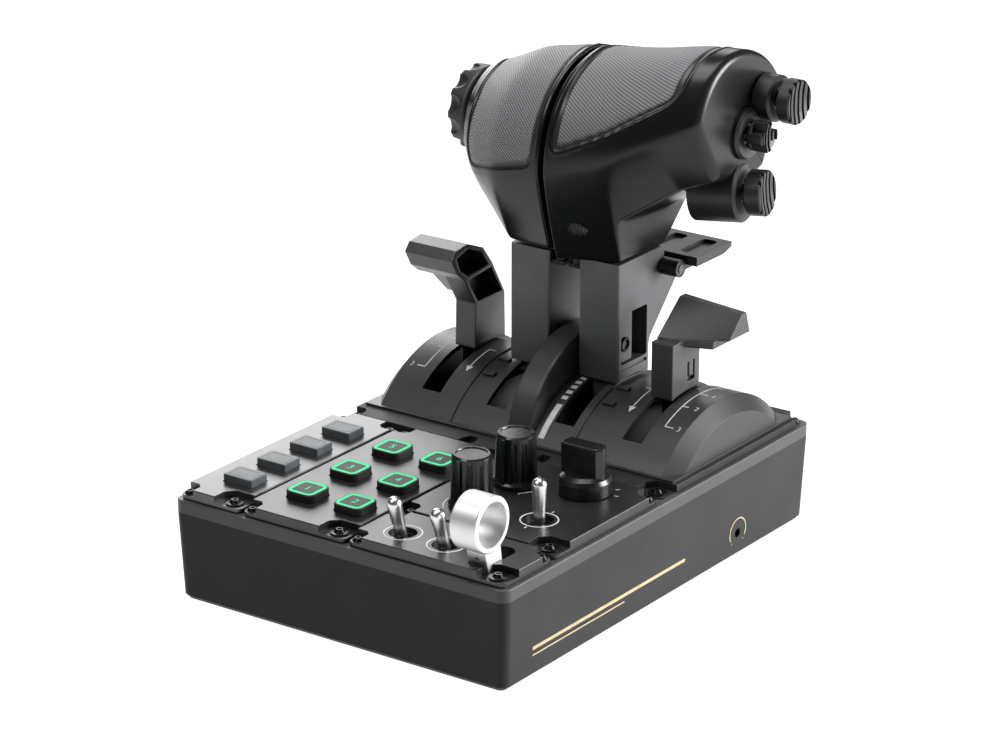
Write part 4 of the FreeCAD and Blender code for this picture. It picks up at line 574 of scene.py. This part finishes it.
def gripMaterial():
    # two-shot grip: a smooth ABS shell and a rubber pad moulded with staggered pits; in the pad's
    # colour the pits are painted near-black as shade and the tops between them pale grey, partly a
    # painted sheen, so the pad reads as a grey mesh
    pitch, cloudWide, grainWide = 1.25, 16, 0.35
    material, tree, shader = newMaterial("twoShotGrip")
    links = tree.links
    uv = addNode(tree, "UVMap", {"uv_map": "UVMap"}).outputs["UV"]
    turned = addNode(tree, "Mapping", None, {"Vector": uv, "Rotation": (0, 0, math.radians(45)),
                                             "Scale": (1 / pitch, 1 / pitch, 1)})
    cells = addNode(tree, "TexVoronoi", {"voronoi_dimensions": "2D"},
                    {"Vector": turned.outputs["Vector"], "Scale": 1.0, "Randomness": 0.0})
    pit = addNode(tree, "MapRange", None, {"Value": cells.outputs["Distance"], "From Min": 0.22,
                                           "From Max": 0.40})
    where = addNode(tree, "TexCoord").outputs["Object"]
    cloud = addNode(tree, "TexNoise", None, {"Vector": where, "Scale": 1 / (cloudWide * mm)})
    grain = addNode(tree, "TexNoise", None, {"Vector": where, "Scale": 1 / (grainWide * mm),
                                             "Detail": 2.0})
    pad = addNode(tree, "Attribute", {"attribute_name": "padMask"}).outputs["Fac"]
    band = addNode(tree, "Attribute", {"attribute_name": "bandMask"}).outputs["Fac"]
    shell = addNode(tree, "MixRGB", None, {"Fac": cloud.outputs["Fac"],
                                           "Color1": toLinear("151516"),
                                           "Color2": toLinear("1c1c1d")})
    banded = addNode(tree, "MixRGB", None, {"Fac": band, "Color1": shell.outputs["Color"],
                                            "Color2": toLinear("353537")})
    # painted shade and sheen: near-black in the pits, pale grey on the tops between them
    pitShadeWeave = addNode(tree, "MixRGB", None, {"Fac": pit.outputs["Result"],
                                           "Color1": toLinear("0c0c0d"),
                                           "Color2": toLinear("8f8f92")})
    whole = addNode(tree, "MixRGB", None, {"Fac": pad, "Color1": banded.outputs["Color"],
                                           "Color2": pitShadeWeave.outputs["Color"]})
    links.new(whole.outputs["Color"], shader.inputs["Base Color"])
    rough = addNode(tree, "MapRange", None, {"Value": pad, "To Min": 0.27, "To Max": 0.52})
    links.new(rough.outputs["Result"], shader.inputs["Roughness"])
    shine = addNode(tree, "MapRange", None, {"Value": pad, "To Min": 0.3, "To Max": 0.5})
    links.new(shine.outputs["Result"], shader.inputs["Specular IOR Level"])
    pits = mathNode(tree, "MULTIPLY", pit.outputs["Result"], pad)
    fine = addNode(tree, "Bump", None, {"Height": grain.outputs["Fac"], "Strength": 0.5,
                                        "Distance": 0.008 * mm})
    bump = addNode(tree, "Bump", None, {"Height": pits, "Strength": 0.8,
                                        "Distance": 0.25 * mm, "Normal": fine.outputs["Normal"]})
    links.new(bump.outputs["Normal"], shader.inputs["Normal"])
    return material


twoShot = gripMaterial()
for label, spec in grips.items():
    vertices, faces, uvs, masks = gripSkin(spec)
    piece = addPiece(label + "GripSkin", vertices, faces, twoShot, spec["body"],
                     uvs, masks)
    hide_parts(spec["node"])
print("grips: two skins with sunk pads")


# Thumb dial: a turned wheel with round scoops out of its outer edge

# its outer face is dished; a scoop's half widths round the rim and along the axis, and how
# far its middle lies from the outer face
dial = dict(radius=22.4, round=2.4, dish=0.6, lip=5, hub=0.1, scoops=11, scoopWide=4.6,
            scoopLong=6.5, scoopAt=1.5, scoopDeep=2.1, scoopFade=(6, 1))


def makeDial():
    # a profile of radius along the axis carried round it; each scoop lowers the rim by a
    # rounded paraboloid near the edge
    low, high = np.array(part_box("thumb_dial")) / mm
    far, near = low[0], high[0]
    rim = min(dial["radius"], (high[1] - low[1]) / 2)
    y, z = (low[1:] + high[1:]) / 2
    bend = np.linspace(0, math.pi / 2, 9)
    edge = dial["round"]
    along = np.concatenate([np.full(10, far + dial["dish"]), far + edge * (1 - np.sin(bend[::-1])),
                            np.linspace(far + edge, near - edge, 60)[1:],
                            near - edge * (1 - np.sin(bend))])
    radius = np.concatenate([np.linspace(dial["hub"], rim - dial["lip"], 10),
                             rim - edge * (1 - np.cos(bend[::-1])),
                             np.full(59, rim), rim - edge * (1 - np.cos(bend))])
    angles = np.linspace(0, 2 * math.pi, 360, endpoint=False)
    pitch = 2 * math.pi / dial["scoops"]
    off = (np.mod(angles + pitch / 2, pitch) - pitch / 2) * rim
    x, aside = np.meshgrid(along, off, indexing="ij")
    scoop = (1 - (aside / dial["scoopWide"]) ** 2
             - ((x - far - dial["scoopAt"]) / dial["scoopLong"]) ** 2)
    deep = dial["scoopDeep"] * np.clip(scoop, 0, 1) ** 0.6
    fade = ramp(radius, *(rim - reach for reach in dial["scoopFade"]))
    r = radius[:, None] - deep * fade[:, None]
    points = np.stack([x, y + r * np.cos(angles)[None], z + r * np.sin(angles)[None]], -1)
    vertices, faces = closedTube(points)
    piece = addPiece("scoopedDial", vertices, faces, materials["mouldedAbs"], "dial")
    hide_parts("thumb_dial")


makeDial()


def roundedPath(x, y, half, halfDeep, corner):
    # the outline of a rounded rectangle, quarter arc after quarter arc
    parts = []
    for k, (toX, toY) in enumerate(((1, 1), (-1, 1), (-1, -1), (1, -1))):
        turn = np.radians(np.linspace(0, 90, 9) + 90 * k)
        parts.append(np.stack([x + toX * (half - corner) + corner * np.cos(turn),
                               y + toY * (halfDeep - corner) + corner * np.sin(turn)], -1))
    return np.concatenate(parts)


# Turned pieces: toggle bats, arm plates with their eyelets and the ribbed slider

def turnedPiece(name, profile, at, towards, material, body, ring=False, segments=64):
    # (along, radius) pairs carried round an axis through a point; a ring has no ends
    towards = np.array(towards, float) / np.linalg.norm(towards)
    side = np.cross(towards, (0.0, 0.6, 0.8) if abs(towards[0]) > 0.9 else (1.0, 0.0, 0.0))
    side /= np.linalg.norm(side)
    other = np.cross(towards, side)
    profile = np.array(profile, float)
    turn = np.linspace(0, 2 * math.pi, segments, endpoint=False)
    spokes = np.cos(turn)[:, None] * side + np.sin(turn)[:, None] * other
    points = (np.array(at) + profile[:, 0, None, None] * towards
              + profile[:, 1, None, None] * spokes)
    if ring:
        faces = [gridFaces(len(profile), segments, True, True)]
        return addPiece(name, points.reshape(-1, 3), faces, material, body)
    vertices, faces = closedTube(points)
    return addPiece(name, vertices, faces, material, body)


toggles = dict(long=26.5, ball=3.2, neck=2.75, tip=3.75, collar=4.2, taper=6, lean=17.0,
               pivotZ=55.0, at={1: (26.7, -117.0), 2: (52.2, -117.0), 3: (70.4, -66.1)})


def makeToggle(k):
    # a ball, a straight taper and a hemisphere on top; two lean towards the user
    lean = math.radians(0 if k == 3 else toggles["lean"])
    ball, neck, tip, collar = (toggles[word] for word in ("ball", "neck", "tip", "collar"))
    top = toggles["long"] - tip
    low = np.radians(np.linspace(-85, 40, 14))
    dome = np.radians(np.linspace(0, 88, 14))
    profile = ([(ball * math.sin(a), ball * math.cos(a)) for a in low] + [(collar, neck)]
               + [(a, neck + (tip - neck) * (a - collar) / (top - collar))
                  for a in np.linspace(toggles["taper"], top, 8)]
               + [(top + tip * math.sin(a), tip * math.cos(a)) for a in dome[1:]])
    piece = turnedPiece("toggleBat_%d" % k, profile, toggles["at"][k] + (toggles["pivotZ"],),
                        (0, -math.sin(lean), math.cos(lean)), materials["chromePlate"],
                        "toggle_%d_bat" % k)
    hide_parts("toggle_%d" % k)


for k in toggles["at"]:
    makeToggle(k)

# a thin plate in the front of each arm's recess, and a screw eyelet on it
armPlate = dict(low=(59.4, 93.4), high=(71.2, 119.6), corner=1.2, edge=0.5, back=25.0, face=31.8)
eyelet = dict(y=64.3, z=103.0, tall=1.0, inner=2.3, outer=3.9)


def makeArmPlate(sign, label):
    # a rounded outline carried across, drawn in twice where its edge is broken
    low, high = np.array(armPlate["low"]), np.array(armPlate["high"])
    middle, half = (low + high) / 2, (high - low) / 2
    face, edge = armPlate["face"], armPlate["edge"]
    rows = []
    for x, inset in ((armPlate["back"], 0.0), (face - edge, 0.0),
                     (face - 0.3 * edge, 0.4 * edge), (face, edge)):
        outline = roundedPath(*middle, *(half - inset), armPlate["corner"])
        rows.append(np.column_stack([np.full(len(outline), x * sign), outline]))
    vertices, faces = closedTube(np.array(rows))
    addPiece("armPlate_" + label, vertices, faces, materials["anodisedArm"],
             label + "_throttle")


def makeEyelet(sign, label):
    # a squared ring: cosine and sine under a square root, carried round its axis
    turn = np.linspace(0, 2 * math.pi, 16, endpoint=False)
    inner, outer = eyelet["inner"], eyelet["outer"]
    rise, spread = (np.sign(wave) * np.abs(wave) ** 0.5 for wave in (np.sin(turn), np.cos(turn)))
    profile = np.stack([eyelet["tall"] * rise,
                        (outer + inner) / 2 + (outer - inner) / 2 * spread], -1)
    turnedPiece("armEyelet_" + label, profile,
                (armPlate["face"] * sign, eyelet["y"], eyelet["z"]), (sign, 0, 0),
                materials["blackOxide"], label + "_throttle", ring=True)


for sign, label in ((-1, "left"), (1, "right")):
    makeArmPlate(sign, label)
    makeEyelet(sign, label)

sliderPad = dict(x=14.5, y=45.9, z=166.4, half=6.6, tall=3.9, proud=2.4, skirt=3.0, lean=0.29,
                 ribs=8, ribHigh=0.45, ribFade=(0.4, 1.4))


def makeSlider():
    # an oval pad: rows are shrinking ellipses that rise to a crown, with upright ribs
    turn = np.linspace(0, 2 * math.pi, 120, endpoint=False)
    climb = np.linspace(0, math.pi / 2 - 0.05, 24)[1:]
    share = np.concatenate([[1.0, 1.0], np.cos(climb)])
    rise = np.concatenate([[-sliderPad["skirt"], 0.0],
                           np.sin(climb) ** 0.6 * sliderPad["proud"]])
    a = share[:, None] * sliderPad["half"] * np.cos(turn)
    b = share[:, None] * sliderPad["tall"] * np.sin(turn)
    rib = sliderPad["ribHigh"] * np.cos(a * math.pi * sliderPad["ribs"] / sliderPad["half"])
    up = rise[:, None] + rib * ramp(rise, *sliderPad["ribFade"])[:, None]
    points = np.stack([sliderPad["x"] + a, sliderPad["y"] - up - sliderPad["lean"] * b,
                       sliderPad["z"] + b], -1)
    vertices, faces = closedTube(points)
    piece = addPiece("ribbedSlider", vertices, faces, materials["mouldedAbs"], "slider")
    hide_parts("front_slider")


makeSlider()
print("turned pieces: dial, toggles, arm plates, eyelets and slider")


# Prints: strokes with a flat cross-section, carried along paths on the surface they mark

ink = 0.07  # thickness of a screen print that still shows as an edge
rooted = 0.02  # how deep a print reaches into what carries it


def onPlate(height):
    # a is x and b is y on a level plate; h is the height above the surface
    return lambda a, b, h: np.stack([a, b, height + h], -1)


arch = dict(y=69.2, z=14.0, radius=70.0)
wall = dict(top=100.0, bottom=98.15, low=0.8, high=47.3)


def onCover(a, b, h):
    # a is x, b is the angle in degrees from the top of the arch towards the user
    turn, radius = np.radians(b), arch["radius"] + h
    return np.stack([a, arch["y"] - radius * np.sin(turn), arch["z"] + radius * np.cos(turn)], -1)


def onWall(a, b, h):
    # a is y, b is z on the sloping right wall
    share = (b - wall["low"]) / (wall["high"] - wall["low"])
    return np.stack([wall["bottom"] + (wall["top"] - wall["bottom"]) * share + h, a, b], -1)


def strokeGrid(path, width, closed, laid, sideways=1.0):
    # four corners of a flat cross-section at each path point, square to the path;
    # sideways is the length of one unit of b where it isn't a millimetre
    path = np.asarray(path, float)
    if closed:
        ahead = np.roll(path, -1, 0) - np.roll(path, 1, 0)
    else:
        ahead = np.gradient(path, axis=0)
    scaled = ahead * [1.0, sideways]
    normal = np.stack([-scaled[:, 1], scaled[:, 0]], -1)
    normal /= np.linalg.norm(normal, axis=1, keepdims=True)
    normal = normal / [1.0, sideways]
    corners = []
    width = np.broadcast_to(width, len(path))[:, None]
    for side, high in ((-1, -rooted), (1, -rooted), (1, ink), (-1, ink)):
        at = path + normal * side * width / 2
        corners.append(laid(at[:, 0], at[:, 1], np.full(len(at), high)))
    return np.stack(corners, 1)


def strokePiece(name, strokes, laid, material, body, sideways=1.0):
    # strokes are (path, width, closed) in the surface's own two coordinates
    allVertices, quads, fans, count = [], [], [], 0
    for path, width, closed in strokes:
        grid = strokeGrid(path, width, closed, laid, sideways)
        rows = len(grid)
        allVertices.append(grid.reshape(-1, 3))
        quads.append(gridFaces(rows, 4, closed, True, count))
        if not closed:
            ends = np.array([[0, 1, 2, 3], [3, 2, 1, 0]])
            ends[1] += (rows - 1) * 4
            fans.append(ends + count)
        count += rows * 4
    faces = [np.concatenate(quads + fans)]
    return addPiece(name, np.concatenate(allVertices), faces, material, body,
                    smooth=False)


def arcPath(x, y, radius, start, stop, steps=48):
    # angles in degrees; a full turn leaves out its last point, since it closes
    turn = np.radians(np.linspace(start, stop, steps, endpoint=abs(stop - start) < 360))
    return np.stack([x + radius * np.cos(turn), y + radius * np.sin(turn)], -1)


def linePath(a, b, steps=2):
    return np.linspace(a, b, steps)


def textPiece(name, words, at, size, laid, material, body):
    # built-in lettering made a mesh, then laid on the surface like the strokes
    curve = bpy.data.curves.new(name, "FONT")
    curve.body = words
    curve.align_x = curve.align_y = "CENTER"
    curve.size = size
    curve.extrude = ink / 2
    helper = bpy.data.objects.new(name + "Curve", curve)
    bpy.context.scene.collection.objects.link(helper)
    bpy.context.view_layer.update()
    mesh = bpy.data.meshes.new_from_object(
        helper.evaluated_get(bpy.context.evaluated_depsgraph_get()))
    bpy.data.objects.remove(helper)
    flat = np.zeros(len(mesh.vertices) * 3)
    mesh.vertices.foreach_get("co", flat)
    flat = flat.reshape(-1, 3)
    a, b = at[0] + flat[:, 0], at[1] + flat[:, 1]
    placed = laid(a, b, flat[:, 2] + ink / 2 - rooted / 2) * mm
    mesh.vertices.foreach_set("co", placed.ravel())
    mesh.name = name
    mesh.materials.clear()
    mesh.materials.append(material)
    mesh.update()
    piece = bpy.data.objects.new(name, mesh)
    bpy.context.scene.collection.objects.link(piece)
    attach(piece, body)
    return piece


# Button and key tops: a lit green frame with a number, and a fine line on each key

def topOf(box):
    # the middle of a box's top, half its sizes, and its height
    low, high = np.array(box) / mm
    return (low[:2] + high[:2]) / 2, (high[:2] - low[:2]) / 2, high[2]


buttonPrint = dict(half=6.8, corner=2.6, width=1.7, digit=6.6)
for k in range(1, 7):
    (x, y), _, top = topOf(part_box("button_%d" % k))
    half, body = buttonPrint["half"], "button_%d_cap" % k
    outline = roundedPath(x, y, half, half, buttonPrint["corner"])
    strokePiece("buttonFrame_%d" % k, [(outline, buttonPrint["width"], True)], onPlate(top),
                materials["litGreen"], body)
    textPiece("buttonNumber_%d" % k, str(k), (x, y), buttonPrint["digit"], onPlate(top),
              materials["litGreen"], body)
keyPrint = dict(inset=2.1, corner=0.6, width=0.35)
for k in range(1, 5):
    (x, y), half, top = topOf(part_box("key_%d" % k))
    outline = roundedPath(x, y, *(half - keyPrint["inset"]), keyPrint["corner"])
    strokePiece("keyLine_%d" % k, [(outline, keyPrint["width"], True)], onPlate(top),
                materials["glossAbs"], "key_%d_cap" % k)


# Panel prints: rings round the toggles, arcs and ticks round the knobs and the selector

ringPrint = dict(radius=9.3, width=0.7, ticks=(10.6, 12.6))
knobPrint = dict(at=((33.8, -33.7), (32.9, -69.5)), radius=14.0, width=0.6, start=-50, stop=230,
                 ticks=(14.0, 16.0))
selectorPrint = dict(at=(68.0, -23.8), ticks=(15.2, 17.4), angles=range(15, 166, 30))


def ringStroke(k):
    return arcPath(*toggles["at"][k], ringPrint["radius"], 0, 360), ringPrint["width"], True


def ticksRound(at, angles, reach):
    # short lines that point away from a middle, from one radius to another
    strokes = []
    for angle in angles:
        away = np.array([math.cos(math.radians(angle)), math.sin(math.radians(angle))])
        strokes.append((linePath(at + reach[0] * away, at + reach[1] * away), 0.5, False))
    return strokes


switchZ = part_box("switch_panel")[1][2] / mm
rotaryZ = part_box("rotary_panel")[1][2] / mm
strokePiece("switchPrint", [ringStroke(1), ringStroke(2)], onPlate(switchZ),
            materials["screenInk"], "base")
strokes = [ringStroke(3)] + ticksRound(toggles["at"][3], (90, 270), ringPrint["ticks"])
for at in knobPrint["at"]:
    start, stop = knobPrint["start"], knobPrint["stop"]
    strokes.append((arcPath(*at, knobPrint["radius"], start, stop), knobPrint["width"], False))
    strokes += ticksRound(at, (start, 90, stop), knobPrint["ticks"])
strokes += ticksRound(selectorPrint["at"], selectorPrint["angles"], selectorPrint["ticks"])
strokePiece("rotaryPrint", strokes, onPlate(rotaryZ), materials["screenInk"], "base")


# Cover prints: brackets beside each side lever slot, an arrow, and a bar with dashes

perDegree = math.radians(1) * arch["radius"]
# x of the scale's spine, of its ticks' length and of its numbers; angles of the ticks, with
# their share of that length
scalePrint = dict(spine=74.4, tick=5.0, numbers=8.2, size=4.4, width=0.7,
                  ticks=((27, 1.0), (13, 0.7), (0, 1.0), (-13, 0.7), (-27, 1.0)),
                  words=(("3", 27), ("2", 13), ("1", 0)))
arrowPrint = dict(x=50.5, hook=4, low=6, high=21, head=20.6, tip=24.0, headWide=4.0, tipWide=0.1)
barPrint = dict(x=12.3, width=3.4, low=29, high=46.7, dashes=5, first=26, pitch=3.6, dash=2.0)


def coverLine(a, b, width=scalePrint["width"]):
    return linePath(a, b, 16), width, False


def upright(middle):
    # lettering that stands up along the arch round an angle
    return lambda a, b, h: onCover(a, middle - (b - middle) / perDegree, h)


for side, label in ((-1, "left"), (1, "right")):
    spine, inner = scalePrint["spine"] * side, arrowPrint["x"] * side
    top = scalePrint["ticks"][0][0]
    strokes = [coverLine((spine, -top), (spine, top))]
    for angle, share in scalePrint["ticks"]:
        strokes.append(coverLine((spine, angle), (spine + scalePrint["tick"] * side * share,
                                                  angle)))
    strokes.append(coverLine((inner, arrowPrint["low"]), (inner, arrowPrint["high"])))
    strokes.append(coverLine((inner, arrowPrint["low"]),
                             (inner - arrowPrint["hook"] * side, arrowPrint["low"])))
    # an arrowhead is a stroke that narrows to its tip
    strokes.append(([(inner, arrowPrint["head"]), (inner, arrowPrint["tip"])],
                    np.array([arrowPrint["headWide"], arrowPrint["tipWide"]]), False))
    strokePiece("scalePrint_" + label, strokes, onCover, materials["screenInk"], "base",
                perDegree)
    for word, angle in scalePrint["words"]:
        textPiece("scaleNumber_%s_%s" % (label, word), word,
                  (spine + scalePrint["numbers"] * side, angle), scalePrint["size"],
                  upright(angle), materials["screenInk"], "base")
x, width = barPrint["x"], barPrint["width"]
strokes = [coverLine((x, barPrint["high"]), (x, barPrint["low"]), width)]
for k in range(barPrint["dashes"]):
    start = barPrint["first"] - k * barPrint["pitch"]
    strokes.append(coverLine((x, start), (x, start - barPrint["dash"]), width))
strokePiece("throttleScale", strokes, onCover, materials["screenInk"], "base",
            perDegree)


# Side lines in gold and the mark round the friction adjuster's hole

linePrint = dict(start=-112, long=(20, 16.2, 1.8), short=(-34, 12.6, 0.8))
holePrint = dict(y=69.2, z=14.7, radius=7.4, width=0.7, start=-30, stop=210, dots=(-48, 223),
                 dot=5)
strokes = [(linePath((linePrint["start"], z), (stop, z), 12), width, False)
           for stop, z, width in (linePrint["long"], linePrint["short"])]
arcs = [(holePrint["start"], holePrint["stop"], 48)]
arcs += [(angle, angle + holePrint["dot"], 3) for angle in holePrint["dots"]]
strokes += [(arcPath(holePrint["y"], holePrint["z"], holePrint["radius"], *arc),
             holePrint["width"], False) for arc in arcs]
strokePiece("sideLines", strokes, onWall, materials["goldInk"], "base")
print("prints: frames, numbers, rings, scales and side lines")
